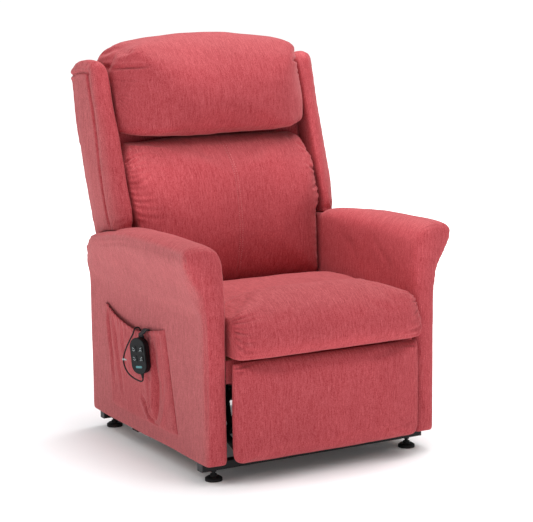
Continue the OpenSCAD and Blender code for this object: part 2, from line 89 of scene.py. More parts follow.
make_camera()
scene.view_settings.view_transform = "Standard"
scene.view_settings.look = "None"


# ------------------------------------------------------------------ node helpers
class Mat:
    """A material and short ways to add nodes to it."""

    def __init__(self, name):
        self.m = bpy.data.materials.new(name)
        self.m.use_nodes = True
        self.t = self.m.node_tree
        self.t.nodes.clear()
        self.out = self.add("ShaderNodeOutputMaterial")
        self.b = self.add("ShaderNodeBsdfPrincipled")
        self.t.links.new(self.b.outputs[0], self.out.inputs[0])
        self.tc = self.add("ShaderNodeTexCoord")

    def add(self, kind, **k):
        n = self.t.nodes.new(kind)
        for a, v in k.items():
            setattr(n, a, v)
        return n

    def link(self, a, b):
        self.t.links.new(a, b)

    def mapping(self, scale, rot=(0, 0, 0), src=None):
        n = self.add("ShaderNodeMapping")
        n.inputs["Scale"].default_value = scale
        n.inputs["Rotation"].default_value = rot
        self.link(src or self.tc.outputs["Object"], n.inputs["Vector"])
        return n.outputs[0]

    def noise(self, vec, scale=1.0, detail=2.0, rough=0.5, distort=0.0):
        n = self.add("ShaderNodeTexNoise")
        n.inputs["Scale"].default_value = scale
        n.inputs["Detail"].default_value = detail
        n.inputs["Roughness"].default_value = rough
        n.inputs["Distortion"].default_value = distort
        self.link(vec, n.inputs["Vector"])
        return n.outputs["Fac"]

    def math(self, op, a, b=None, c=None):
        n = self.add("ShaderNodeMath", operation=op)
        for i, v in enumerate((a, b, c)):
            if v is None:
                continue
            if isinstance(v, (int, float)):
                n.inputs[i].default_value = v
            else:
                self.link(v, n.inputs[i])
        return n.outputs[0]

    def ramp(self, fac, stops):
        n = self.add("ShaderNodeValToRGB")
        e = n.color_ramp.elements
        while len(e) < len(stops):
            e.new(0.5)
        for i, (p, c) in enumerate(stops):
            e[i].position = p
            e[i].color = (c[0], c[1], c[2], 1)
        self.link(fac, n.inputs[0])
        return n.outputs[0]

    def maprange(self, v, a, b, c, d):
        n = self.add("ShaderNodeMapRange")
        for i, x in enumerate((a, b, c, d)):
            n.inputs[1 + i].default_value = x
        self.link(v, n.inputs[0])
        return n.outputs[0]

    def mixcol(self, fac, a, b, mode="MIX"):
        n = self.add("ShaderNodeMix", data_type="RGBA", blend_type=mode)
        for sock, v in ((n.inputs[0], fac), (n.inputs[6], a), (n.inputs[7], b)):
            if isinstance(v, (int, float)):
                sock.default_value = v
            elif isinstance(v, tuple):
                sock.default_value = (v[0], v[1], v[2], 1)
            else:
                self.link(v, sock)
        return n.outputs[2]

    def bump(self, height, strength, dist, normal=None):
        n = self.add("ShaderNodeBump")
        n.inputs["Strength"].default_value = strength
        n.inputs["Distance"].default_value = dist
        self.link(height, n.inputs["Height"])
        if normal is not None:
            self.link(normal, n.inputs["Normal"])
        return n.outputs[0]

    def set(self, **k):
        for a, v in k.items():
            self.b.inputs[a.replace("_", " ")].default_value = v


# ------------------------------------------------------------------ materials
def fabric_material(name="chenille", wrap_x=True, sheen_paint_amount=1.0):
    """Short-pile chenille. Its fine grain runs up the faces; on level faces it follows the panel over the edge:
    front to back where wrap_x is true, and side to side, as on an arm, where it is false."""
    m = Mat(name)
    sep = m.add("ShaderNodeSeparateXYZ")
    m.link(m.tc.outputs["Normal"], sep.inputs[0])
    if wrap_x:
        turn = m.maprange(m.math("ABSOLUTE", sep.outputs[0]), 0.60, 0.80, 0.0, 1.0)
    else:
        turn = m.maprange(m.math("ABSOLUTE", sep.outputs[1]), 0.60, 0.80, 1.0, 0.0)

    def grain(across, lengthwise, detail, distort=0.0, rough=0.55):
        a = m.noise(m.mapping((across, lengthwise, lengthwise)), 1.0, detail, rough, distort)
        b = m.noise(m.mapping((lengthwise, across, lengthwise)), 1.0, detail, rough, distort)
        mix = m.add("ShaderNodeMix", data_type="FLOAT")
        m.link(turn, mix.inputs[0]); m.link(a, mix.inputs[2]); m.link(b, mix.inputs[3])
        return mix.outputs[0]

    rib = grain(420, 42, 1.0)
    thread = grain(1000, 150, 1.0)
    streak = grain(130, 12, 2.0, 0.1)
    cloud = m.noise(m.mapping((6, 6, 4)), 1.0, 3.0, 0.5)
    speck = m.noise(m.mapping((430, 430, 430)), 1.0, 1.0, 0.5)
    v = m.math("ADD", m.math("MULTIPLY", rib, 0.30), m.math("MULTIPLY", thread, 0.28))
    v = m.math("ADD", v, m.math("MULTIPLY", streak, 0.07))
    v = m.math("ADD", v, m.math("MULTIPLY", speck, 0.35))
    col = m.ramp(v, [(0.36, COL[0]), (0.46, COL[1]), (0.54, COL[2]), (0.66, COL[3])])
    tint = m.maprange(cloud, 0.3, 0.7, 0.95, 1.05)
    hsv = m.add("ShaderNodeHueSaturation")
    m.link(col, hsv.inputs["Color"]); m.link(tint, hsv.inputs["Value"])
    # painted highlight: faces that lean out towards the side on the arms, and upward-facing level faces, are mixed
    # toward a paler colour that stands in for the sheen light gives the pile
    place = m.add("ShaderNodeSeparateXYZ")
    m.link(m.tc.outputs["Object"], place.inputs[0])
    outward = m.math("MULTIPLY", m.math("SIGN", place.outputs[0]), sep.outputs[0])
    outer = m.maprange(m.math("ABSOLUTE", place.outputs[0]), 0.325, 0.345, 0.0, 1.0)
    side = m.math("MULTIPLY", m.maprange(outward, 0.40, 0.95, 0.0, 0.62 * sheen_paint_amount), outer)
    top = m.maprange(sep.outputs[2], 0.45, 0.95, 0.0, 0.30 * sheen_paint_amount)
    painted_sheen = m.math("MAXIMUM", side, top)
    pale = m.ramp(v, [(0.36, tuple(0.70 * c for c in PAINTED_SHEEN_COL)), (0.50, PAINTED_SHEEN_COL), (0.64, tuple(1.25 * c for c in PAINTED_SHEEN_COL))])
    base = m.mixcol(painted_sheen, hsv.outputs[0], pale)
    m.link(base, m.b.inputs["Base Color"])
    rough = m.maprange(v, 0.35, 0.65, 0.95, 0.80)
    m.link(rough, m.b.inputs["Roughness"])
    m.set(Sheen_Weight=0.22, Sheen_Roughness=0.40, Sheen_Tint=(1.0, 0.62, 0.60, 1), Specular_IOR_Level=0.12)
    n1 = m.bump(streak, 0.18, 0.0006)
    n2 = m.bump(m.math("ADD", rib, m.math("MULTIPLY", thread, 0.6)), 0.40, 0.0005, n1)
    m.link(n2, m.b.inputs["Normal"])
    return m.m


COL = [(0.310, 0.034, 0.043), (0.420, 0.060, 0.070), (0.475, 0.078, 0.090), (0.575, 0.125, 0.136)]
# pale colour of the painted sheen highlight on the fabric's outward sides and upward faces
PAINTED_SHEEN_COL = (0.47, 0.145, 0.148)


def paint_material(name, col, rough=0.42, wear=0.25, metal=0.0):
    m = Mat(name)
    n = m.noise(m.mapping((60, 60, 60)), 1.0, 4.0, 0.6)
    f = m.noise(m.mapping((900, 900, 900)), 1.0, 2.0, 0.5)
    geo = m.add("ShaderNodeNewGeometry")
    edge = m.maprange(geo.outputs["Pointiness"], 0.52, 0.60, 0.0, wear)
    dark = tuple(c * 0.75 for c in col)
    light = tuple(min(1, c * 1.5 + 0.02) for c in col)
    c = m.ramp(n, [(0.3, dark), (0.7, tuple(min(1, x * 1.15) for x in col))])
    m.link(m.mixcol(edge, c, light), m.b.inputs["Base Color"])
    m.link(m.maprange(n, 0.3, 0.7, rough - 0.08, rough + 0.1), m.b.inputs["Roughness"])
    m.set(Metallic=metal, Specular_IOR_Level=0.22)
    m.link(m.bump(f, 0.18, 0.0003), m.b.inputs["Normal"])
    return m.m


def zinc_material():
    m = Mat("zinc_plated")
    v = m.add("ShaderNodeTexVoronoi")
    v.inputs["Scale"].default_value = 140
    m.link(m.tc.outputs["Object"], v.inputs["Vector"])
    n = m.noise(m.mapping((30, 30, 400)), 1.0, 3.0, 0.6)
    mix = m.math("ADD", m.math("MULTIPLY", v.outputs["Distance"], 0.5), m.math("MULTIPLY", n, 0.5))
    m.link(m.ramp(mix, [(0.2, (0.46, 0.47, 0.49)), (0.8, (0.72, 0.73, 0.75))]), m.b.inputs["Base Color"])
    m.link(m.maprange(n, 0.3, 0.7, 0.26, 0.42), m.b.inputs["Roughness"])
    m.set(Metallic=1.0)
    m.link(m.bump(n, 0.1, 0.0002), m.b.inputs["Normal"])
    return m.m


def wood_material():
    m = Mat("beech_timber")
    warp = m.noise(m.mapping((8, 8, 8)), 1.0, 3.0, 0.5, 0.6)
    g = m.noise(m.mapping((9, 60, 60)), 1.0, 4.0, 0.6, 1.2)
    fine = m.noise(m.mapping((40, 700, 700)), 1.0, 2.0, 0.5)
    v = m.math("ADD", m.math("MULTIPLY", g, 0.6), m.math("ADD", m.math("MULTIPLY", warp, 0.25), m.math("MULTIPLY", fine, 0.15)))
    m.link(m.ramp(v, [(0.32, (0.42, 0.25, 0.12)), (0.5, (0.62, 0.42, 0.23)), (0.68, (0.74, 0.55, 0.34))]), m.b.inputs["Base Color"])
    m.link(m.maprange(fine, 0.3, 0.7, 0.55, 0.72), m.b.inputs["Roughness"])
    m.link(m.bump(fine, 0.25, 0.0004), m.b.inputs["Normal"])
    return m.m


def webbing_material():
    m = Mat("woven_webbing")
    w1 = m.add("ShaderNodeTexWave", wave_type="BANDS", bands_direction="DIAGONAL")
    w1.inputs["Scale"].default_value = 260
    w2 = m.add("ShaderNodeTexWave", wave_type="BANDS", bands_direction="X")
    w2.inputs["Scale"].default_value = 160
    m.link(m.tc.outputs["Object"], w1.inputs["Vector"]); m.link(m.tc.outputs["Object"], w2.inputs["Vector"])
    v = m.math("MULTIPLY", w1.outputs["Fac"], w2.outputs["Fac"])
    m.link(m.ramp(v, [(0.1, (0.012, 0.012, 0.014)), (0.9, (0.05, 0.05, 0.056))]), m.b.inputs["Base Color"])
    m.set(Roughness=0.85, Specular_IOR_Level=0.25, Sheen_Weight=0.15)
    m.link(m.bump(v, 0.6, 0.0005), m.b.inputs["Normal"])
    return m.m


def plastic_material(name, col, rough, coat=0.0, grain=0.2, spec=0.5):
    m = Mat(name)
    n = m.noise(m.mapping((1400, 1400, 1400)), 1.0, 2.0, 0.6)
    s = m.noise(m.mapping((35, 35, 35)), 1.0, 3.0, 0.5)
    m.link(m.ramp(s, [(0.3, tuple(c * 0.85 for c in col)), (0.7, tuple(min(1, c * 1.15) for c in col))]), m.b.inputs["Base Color"])
    m.link(m.maprange(s, 0.3, 0.7, rough - 0.05, rough + 0.06), m.b.inputs["Roughness"])
    m.set(Specular_IOR_Level=spec, Coat_Weight=coat, Coat_Roughness=0.12)
    m.link(m.bump(n, grain, 0.00015), m.b.inputs["Normal"])
    return m.m


def clear_material():
    m = Mat("clear_plastic")
    s = m.noise(m.mapping((120, 120, 120)), 1.0, 2.0, 0.5)
    m.link(m.ramp(s, [(0.3, (0.60, 0.66, 0.67)), (0.7, (0.78, 0.83, 0.84))]), m.b.inputs["Base Color"])
    m.link(m.maprange(s, 0.3, 0.7, 0.08, 0.16), m.b.inputs["Roughness"])
    m.set(Transmission_Weight=0.55, IOR=1.46)
    return m.m


def board_material():
    m = Mat("circuit_board")
    v = m.add("ShaderNodeTexVoronoi", feature="DISTANCE_TO_EDGE")
    v.inputs["Scale"].default_value = 220
    m.link(m.tc.outputs["Object"], v.inputs["Vector"])
    m.link(m.ramp(v.outputs["Distance"], [(0.05, (0.10, 0.32, 0.16)), (0.15, (0.02, 0.13, 0.06))]), m.b.inputs["Base Color"])
    m.set(Roughness=0.4)
    return m.m


FABRIC = fabric_material()
FABRIC_ARM = fabric_material("chenille_arm", wrap_x=False)
# the pocket gets a weaker painted sheen highlight
FABRIC_POCKET = fabric_material("chenille_pocket", wrap_x=False, sheen_paint_amount=0.45)
BLACK = paint_material("black_frame_paint", (0.010, 0.010, 0.011), 0.50, 0.20)
ZINC = zinc_material()
RUBBER = plastic_material("black_rubber", (0.009, 0.009, 0.010), 0.60, grain=0.35, spec=0.28)
SHELL = plastic_material("handset_shell", (0.005, 0.006, 0.007), 0.42, coat=0.03, grain=0.12, spec=0.18)
DARK = plastic_material("dark_plastic", (0.030, 0.031, 0.034), 0.52, grain=0.25)
KEY = plastic_material("button_rubber", (0.009, 0.010, 0.011), 0.46, grain=0.2, spec=0.22)
WOOD = wood_material()
WEB = webbing_material()
TEAL = plastic_material("teal_strip", (0.012, 0.19, 0.21), 0.30, coat=0.5, grain=0.05)
CLEAR = clear_material()
BOARD = board_material()
MARK = plastic_material("pale_mark", (0.30, 0.35, 0.36), 0.45, grain=0.05)
THREAD = plastic_material("pale_thread", (0.66, 0.30, 0.30), 0.8, grain=0.3, spec=0.2)

CAD_LOOK = {
    "base_side_rails": (BLACK, 0.0022), "base_cross_tubes": (BLACK, 0.0022), "tube_end_caps": (DARK, 0.001),
    "arm_rest_pads": (RUBBER, 0.001), "base_pivot_lugs": (BLACK, 0.0006), "base_pivot_pins": (ZINC, 0.0005),
    "lift_motor_bracket": (BLACK, 0.0005), "lift_arms": (BLACK, 0.0006), "lift_cross_tube": (BLACK, 0.0004),
    "front_links": (BLACK, 0.0006), "lift_motor": (DARK, 0.0012), "lift_rod": (ZINC, 0.0008),
    "side_plates": (BLACK, 0.0006), "seat_pivot_pins": (ZINC, 0.0004), "seat_side_rails": (WOOD, 0.0015),
    "seat_cross_rails": (WOOD, 0.0015), "seat_webbing": (WEB, 0.0), "leg_rest_hangers": (BLACK, 0.0005),
    "arm_frames": (WOOD, 0.001), "arm_bolts": (ZINC, 0.0004), "handset_strap": (WEB, 0.0003),
    "handset_front": (SHELL, 0.0009), "handset_back": (SHELL, 0.0009), "handset_board": (BOARD, 0.0),
    "handset_strip": (TEAL, 0.0003), "button_back_up": (KEY, 0.0007), "button_back_down": (KEY, 0.0007),
    "button_legs_up": (KEY, 0.0007), "button_legs_down": (KEY, 0.0007), "cord_gland": (RUBBER, 0.001),
    "cable_clip": (CLEAR, 0.0003), "control_box": (DARK, 0.0012), "mains_inlet": (DARK, 0.0006),
    "recline_motor_bracket": (BLACK, 0.0005), "recline_motor": (DARK, 0.0012), "recline_rod": (ZINC, 0.0008),
    "back_frame": (WOOD, 0.0015), "back_webbing": (WEB, 0.0), "back_hinge_plates": (ZINC, 0.0005),
    "recline_lever": (ZINC, 0.0005), "leg_rest_board": (WOOD, 0.001), "leg_rest_ribs": (BLACK, 0.0005),
    "leg_links_upper": (BLACK, 0.0005), "leg_links_lower": (BLACK, 0.0005), "leg_links_guide": (BLACK, 0.0005),
    "leg_links_level": (BLACK, 0.0005), "handset_strain_relief": (RUBBER, 0.0), "levelling_feet": (RUBBER, 0.0008),
}


def finish_cad(name, mat, bevel):
    o = NODES[name]
    o.data.materials.clear()
    o.data.materials.append(mat)
    if bevel:
        w = o.modifiers.new("weld", "WELD")
        w.merge_threshold = 0.00002
        b = o.modifiers.new("bevel", "BEVEL")
        b.width, b.segments, b.limit_method, b.angle_limit = bevel, 2, "ANGLE", math.radians(38)
        b.use_clamp_overlap = True
        b.harden_normals = False


for node_name, (material, bevel_width) in CAD_LOOK.items():
    finish_cad(node_name, material, bevel_width)


# ------------------------------------------------------------------ mesh helpers (millimetres in arrays)
def new_object(name, mesh):
    o = bpy.data.objects.new(name, mesh)
    scene.collection.objects.link(o)
    return o


def get_co(o):
    a = np.empty(len(o.data.vertices) * 3, np.float32)
    o.data.vertices.foreach_get("co", a)
    return a.reshape(-1, 3).astype(float) * 1000


def put_co(o, a):
    o.data.vertices.foreach_set("co", (a / 1000).astype(np.float32).ravel())
    o.data.update()


def get_no(o):
    a = np.empty(len(o.data.vertices) * 3, np.float32)
    o.data.vertex_normals.foreach_get("vector", a)
    return a.reshape(-1, 3).astype(float)


def get_edges(o):
    e = np.empty(len(o.data.edges) * 2, np.int32)
    o.data.edges.foreach_get("vertices", e)
    return e.reshape(-1, 2)


def relax(a, e, times, lam=0.6, keep=None):
    """Smooths any per-vertex values along the edges."""
    n = len(a)
    deg = np.maximum(np.bincount(e.ravel(), minlength=n), 1)[:, None]
    a = a.reshape(n, -1).copy()
    for _ in range(times):
        s = np.empty_like(a)
        for k in range(a.shape[1]):
            s[:, k] = np.bincount(e[:, 0], a[e[:, 1], k], n) + np.bincount(e[:, 1], a[e[:, 0], k], n)
        d = lam * (s / deg - a)
        if keep is not None:
            d *= (1 - keep)[:, None]
        a += d
    return a


def realise(o):
    dg = bpy.context.evaluated_depsgraph_get()
    m = bpy.data.meshes.new_from_object(o.evaluated_get(dg), depsgraph=dg)
    old = o.data
    o.modifiers.clear()
    o.data = m
    bpy.data.meshes.remove(old)


def waves(p, scale, seed, n=7):
    """Smooth repeatable noise about -1 to 1; scale is the wavelength in millimetres."""
    rng = np.random.default_rng(seed)
    v = np.zeros(len(p))
    for _ in range(n):
        d = rng.normal(size=3); d /= np.linalg.norm(d)
        v += np.sin(p @ d * (2 * math.pi / (scale * rng.uniform(0.7, 1.5))) + rng.uniform(0, 6.28))
    return v / n * 1.8


def smooth(x, a, b):
    t = np.clip((x - a) / (b - a), 0, 1)
    return t * t * (3 - 2 * t)


def along(p2, poly):
    """Distance to a polyline in a plane, how far along it, and the side (positive on the left)."""
    poly = np.asarray(poly, float)
    best = np.full(len(p2), 1e9); s = np.zeros(len(p2)); side = np.ones(len(p2)); run = 0.0
    for a, b in zip(poly[:-1], poly[1:]):
        d = b - a; L = np.linalg.norm(d)
        t = np.clip(((p2 - a) @ d) / (L * L), 0, 1)
        q = p2 - (a + t[:, None] * d)
        r = np.hypot(q[:, 0], q[:, 1])
        m = r < best
        best[m] = r[m]; s[m] = run + t[m] * L
        side[m] = np.sign(d[0] * q[m, 1] - d[1] * q[m, 0])
        run += L
    return best, s, side, run


def curve_through(points, n=60):
    """Catmull-Rom samples through a few points."""
    p = np.asarray(points, float)
    p = np.vstack([2 * p[0] - p[1], p, 2 * p[-1] - p[-2]])
    out = []
    per = max(2, n // (len(p) - 3))
    for i in range(1, len(p) - 2):
        for t in np.linspace(0, 1, per, endpoint=False):
            a, b, c, d = p[i - 1], p[i], p[i + 1], p[i + 2]
            out.append(0.5 * (2 * b + (c - a) * t + (2 * a - 5 * b + 4 * c - d) * t * t + (3 * b - a - 3 * c + d) * t ** 3))
    out.append(p[-2])
    return np.array(out)


def seam(p, n, poly, plane, face, depth=3.5, width=4.0, puff=0.35, pucker=0.0, lam=26.0, reach=22.0, seed=1, mask=None, one_side=0):
    """How far each point moves along its normal for a sewn line on the faces that look towards face."""
    d, s, side, run = along(p[:, plane], curve_through(poly))
    w = smooth(n @ np.asarray(face, float), 0.05, 0.45)
    if mask is not None:
        w = w * mask
    ends = smooth(s, 0, 12) * smooth(run - s, 0, 12) * 0.7 + 0.3
    h = -depth * np.exp(-(d / width) ** 2) * ends
    h += puff * depth * np.exp(-((d - 2.6 * width) / (1.7 * width)) ** 2)
    if pucker:
        ph = s / lam * 2 * math.pi + 1.3 * np.sin(s / (lam * 2.7) + seed) + 0.06 * d
        k = np.where(side * one_side < 0, 0.25, 1.0) if one_side else 1.0
        h += k * pucker * (np.cos(ph) ** 3 - 0.2) * np.exp(-(d / reach)) * (1 - np.exp(-(d / 3.0) ** 2))
    return h * w


def end_pleats(p, n, x_end, centre, radius, lam, depth, reach, t0, t1, seed, front_only=True, sharp=3.0):
    """Gathers that run in from a pad's end, round its profile. Angles t are in degrees: 0 faces -Y and 90 faces up."""
    rng = np.random.default_rng(seed)
    th = np.degrees(np.arctan2(p[:, 2] - centre[1], -(p[:, 1] - centre[0])))
    s = np.radians(th) * radius + 2.5 * np.sin(p[:, 0] / 17.0 + seed)
    k = np.floor(s / lam).astype(int)
    ln = rng.uniform(0.45, 1.25, 400)[(k + 200) % 400] * reach
    am = rng.uniform(0.45, 1.2, 400)[(k + 200) % 400]
    u = (s / lam - k)
    off = rng.uniform(0.38, 0.62, 400)[(k + 200) % 400]
    g = np.clip(1 - np.abs(u - off) * sharp, 0, 1) ** 1.4
    gap = np.abs(x_end - p[:, 0])
    fade = np.exp(-(gap / ln) ** 1.6) * (np.sign(x_end) * n[:, 0] < 0.93)
    band = smooth(th, t0 - 8, t0 + 8) * (1 - smooth(th, t1 - 8, t1 + 8))
    swell = 0.45 * np.exp(-(gap / (reach * 1.1)) ** 2) * (1 - g)
    return (-depth * g * am * fade + depth * swell * 0.6) * band


def fold(p, n, poly, plane, face, depth, width, skew=0.0, seed=0):
    """One soft drag line: a groove with a raised lip, fading at both ends."""
    d, s, side, run = along(p[:, plane], curve_through(poly))
    w = smooth(n @ np.asarray(face, float), 0.05, 0.45)
    e = np.sin(np.clip(s / run, 0, 1) * math.pi) ** 0.7
    sd = d * side
    h = -depth * np.exp(-(sd / width) ** 2) + 0.5 * depth * np.exp(-((sd - width * 1.9) / (width * 1.3)) ** 2) + skew * depth * np.exp(-((sd + width * 1.9) / (width * 1.3)) ** 2)
    return h * e * w


# ------------------------------------------------------------------ soft pieces: shape, cloth, stitching
SOFT = []


def soft(node, voxel, presmooth=8, shrink=2.0, shape=None, pin=None, cap=12.0, limit=None, detail=None, sub=1,
         pressure=4.0, fill=0.7, post=2, fit=(True, True, True), mat=None):
    mesh = NODES[node].data.copy()
    bm = bmesh.new(); bm.from_mesh(mesh)
    bmesh.ops.remove_doubles(bm, verts=bm.verts, dist=0.00002)
    bm.to_mesh(mesh); bm.free()
    o = new_object(node + "_soft", mesh)
    o.data.materials.clear()
    r = o.modifiers.new("remesh", "REMESH")
    r.mode, r.voxel_size, r.adaptivity = "VOXEL", voxel / 1000, 0
    realise(o)
    e = get_edges(o)
    p = get_co(o)
    if shape:
        p = shape(p)
    p = relax(p, e, presmooth, 0.6)
    put_co(o, p)
    n = get_no(o)
    p = p - n * shrink
    put_co(o, p)
    SOFT.append(dict(o=o, node=node, pin=pin, cap=cap, limit=limit, detail=detail, sub=sub, pressure=pressure, fill=fill, post=post, rest=p, fit=fit, mat=mat))
    return o


def run_cloth():
    scene.frame_start, scene.frame_end = 1, 30
    for s in SOFT:
        if not s["pressure"]:
            continue
        o = s["o"]
        c = o.modifiers.new("cloth", "CLOTH")
        st = c.settings
        st.quality = 4
        st.mass = 0.3
        st.tension_stiffness = st.compression_stiffness = 12
        st.shear_stiffness = 5
        st.bending_stiffness = 0.6
        st.air_damping = 1.5
        st.use_pressure = True
        st.uniform_pressure_force = s["pressure"]
        st.effector_weights.gravity = 0
        c.point_cache.frame_start, c.point_cache.frame_end = 1, 30
        c.collision_settings.use_collision = False
        c.collision_settings.use_self_collision = False
        if s["pin"]:
            w = np.clip(s["pin"](s["rest"], get_no(o)), 0, 1)
            g = o.vertex_groups.new(name="pin")
            q = np.round(w * 10).astype(int)
            for lvl in range(1, 11):
                ids = np.nonzero(q == lvl)[0].tolist()
                if ids:
                    g.add(ids, lvl / 10, "REPLACE")
            st.vertex_group_mass = "pin"
    for f in range(1, 19):
        scene.frame_set(f)
    for s in SOFT:
        if not s["pressure"]:
            continue
        o = s["o"]
        realise(o)
        o.vertex_groups.clear()
        p = get_co(o)
        d = p - s["rest"]
        L = np.maximum(np.linalg.norm(d, axis=1), 1e-9)
        cap = s["cap"]
        d *= (cap * np.tanh(L / cap) / L)[:, None]
        d = relax(d, get_edges(o), 2, 0.5)
        put_co(o, s["rest"] + d)
    scene.frame_set(1)


def finish_soft():
    for s in SOFT:
        o = s["o"]
        p = get_co(o)
        if s["post"]:
            p = relax(p, get_edges(o), s["post"], 0.5)
        # the stuffed form takes up the size of its solid
        lo, hi = (np.array(v) * 1000 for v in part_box(s["node"]))
        a, b = p.min(0), p.max(0)
        for k in range(3):
            if s["fit"][k]:
                p[:, k] = lo[k] + (p[:, k] - a[k]) * (hi[k] - lo[k]) / (b[k] - a[k])
        put_co(o, p)
        if s["sub"]:
            m = o.modifiers.new("sub", "SUBSURF")
            m.levels = m.render_levels = s["sub"]
            m.boundary_smooth = "ALL"
            realise(o)
            p = get_co(o)
        if s["detail"]:
            p = s["detail"](o, p, get_no(o))
        if s["limit"]:
            p = s["limit"](p)
            p = s["limit"](relax(p, get_edges(o), 1, 0.35))
            if s["node"].startswith("arm_cover"):
                # ease out what the clamps leave at the arm's rounded rear end
                w = smooth(p[:, 1], 130, 200)[:, None] * smooth(p[:, 2], 380, 440)[:, None]
                p = s["limit"](p + (relax(p, get_edges(o), 8, 0.5) - p) * w)
        put_co(o, p)
        o.data.materials.clear()
        o.data.materials.append(s["mat"] or FABRIC)
        o.data.shade_smooth()
        o.name = s["node"] + "_upholstery"
        o.data.name = o.name
        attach(o, NODES[s["node"]]["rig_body"])
        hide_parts(s["node"])


def cl(v, lo, hi, soft_mm=3.0):
    """Soft clamp: values ease into the limits over the last few millimetres."""
    v = np.where(v > hi - soft_mm, hi - soft_mm + soft_mm * np.tanh((v - hi + soft_mm) / soft_mm), v)
    return np.where(v < lo + soft_mm, lo + soft_mm - soft_mm * np.tanh((lo + soft_mm - v) / soft_mm), v)


def yr(z):
    return 291 + (z - 530) * 0.208


# seat cushion ------------------------------------------------------
def seat_shape(p):
    x, y, z = p.T.copy()
    r = np.abs(x) / 275
    w = smooth(-y, 240, 390)
    y = y + (12 + 28 * smooth(z, 335, 425)) * r ** 9 * w
    z = z - 10 * r ** 12 * smooth(z, 420, 470)
    # fuller low down at the front, where it hangs over the leg rest
    low = smooth(-y, 330, 385) * (1 - smooth(z, 322, 372))
    z = z - 9 * low
    y = y - 5 * low
    z = z - 6 * r ** 12 * smooth(y, -250, -100) * smooth(z, 430, 455)
    return np.stack([x, y, z], 1)


def seat_pin(p, n):
    return np.maximum.reduce([1 - smooth(p[:, 2], 326, 352), smooth(p[:, 1], 100, 135), 0.6 * smooth(np.abs(p[:, 0]), 262, 272)])


def seat_detail(o, p, n):
    x, y, z = p.T
    h = waves(p, 210, 3) * 1.6 * smooth(n[:, 2], -0.2, 0.5) + waves(p, 90, 4) * 0.6
    # the soft valley behind the front roll
    poly = [(-272, -262), (-200, -246), (-100, -236), (0, -232), (100, -236), (200, -246), (272, -262)]
    h += seam(p, n, poly, [0, 1], (0, 0, 1), depth=4.5, width=7, puff=0.25, pucker=1.0, lam=34, reach=26, seed=5)
    for sx in (-1, 1):
        h += end_pleats(p, n, sx * 276, (-322, 405), 78, 16.5, 6.5, 34, -50, 50, 11 + sx, sharp=2.6)
        # drag lines that fan out of the gathers
        for k, (z0, z1, l) in enumerate(((352, 350, 60), (372, 376, 44), (338, 336, 90))):
            h += fold(p, n, [(sx * 272, z0), (sx * (272 - l * 0.5), (z0 + z1) / 2 + 1), (sx * (272 - l), z1)], [0, 2], (0, -1, 0), 1.8, 3.5)
    p = p + n * h[:, None]
    return p


def seat_limit(p):
    x, y, z = p.T.copy()
    x = cl(x, -279.5, 279.5, 2.0)
    z = np.maximum(z, 319.2)
    y = cl(y, -415, 143, 3)
    return np.stack([x, y, z], 1)


# head pillow --------------------------------------------------------
def pillow_shape(p):
    x, y, z = p.T.copy()
    r = np.abs(x) / 295
    t = smooth(z, 890, 1080)
    x = x * (1 - 0.045 * t)
    y = y + 34 * r ** 5 * t
    z = z - 8 * r ** 10 * smooth(z, 1000, 1090) + 5 * r ** 8 * (1 - smooth(z, 830, 870))
    return np.stack([x, y, z], 1)


def pillow_front(x):
    return 129 + 140 * (np.abs(x) / 295) ** 4


def pillow_pin(p, n):
    x, y, z = p.T
    return np.maximum.reduce([smooth(y - (yr(z) - 66), -14, 6) * (z < 1000), 0.5 * smooth(np.abs(x), 284, 293)])


def pillow_detail(o, p, n):
    h = waves(p, 180, 21) * 2.2 + waves(p, 80, 22) * 0.8
    c, R = (300, 960), 165
    for sx in (-1, 1):
        h += end_pleats(p, n, sx * 295, c, R, 22, 5.8, 32, -42, 100, 31 + sx, sharp=2.6)
        # the long pleats that run out of the upper corner
        for a, b, cc, dp, wd in (((296, 1008), (268, 1020), (222, 1024), 7.0, 4.4), ((293, 1036), (272, 1052), (246, 1072), 6.0, 4.0),
                                 ((286, 1058), (270, 1078), (256, 1092), 6.0, 3.8), ((294, 982), (272, 986), (240, 984), 3.0, 3.4)):
            h += fold(p, n, [(sx * a[0], a[1]), (sx * b[0], b[1]), (sx * cc[0], cc[1])], [0, 2], (0, -0.75, 0.66), dp, wd, 0.4)
    # seam where the top and front panel meets the bottom fold, with shallow tucks
    h += seam(p, n, [(-285, 846), (-150, 840), (0, 839), (150, 840), (285, 846)], [0, 2], (0, -1, -0.2), depth=1.2, width=6, puff=0.6, pucker=0.9, lam=62, reach=34, seed=2)
    return p + n * h[:, None]


def pillow_limit(p):
    x, y, z = p.T.copy()
    x = cl(x, -297, 297, 3)
    z = cl(z, 825.5, 1112, 3)
    y = np.minimum(y, 414)
    return np.stack([x, y, z], 1)


# lumbar cushion -----------------------------------------------------
def lumbar_half(z):
    return np.interp(z, [598, 625], [277, 291])


def lumbar_shape(p):
    x, y, z = p.T.copy()
    r = np.clip(np.abs(x) / lumbar_half(z), 0, 1)
    depth = np.clip((yr(z) - 66 - y) / 120, 0, 1)
    # the top corners sweep back under the pillow
    y = y + np.interp(z, [560, 644, 731, 800, 822], [0, 6, 34, 72, 84]) * r ** 4 * depth
    z = z - 7 * r ** 8 * smooth(z, 780, 822) * depth
    return np.stack([x, y, z], 1)


def lumbar_pin(p, n):
    x, y, z = p.T
    return np.maximum.reduce([smooth(y - (yr(z) - 66), -16, 4), 0.6 * smooth(np.abs(x), lumbar_half(z) - 9, lumbar_half(z) - 1), 0.7 * (1 - smooth(z, 412, 430))])


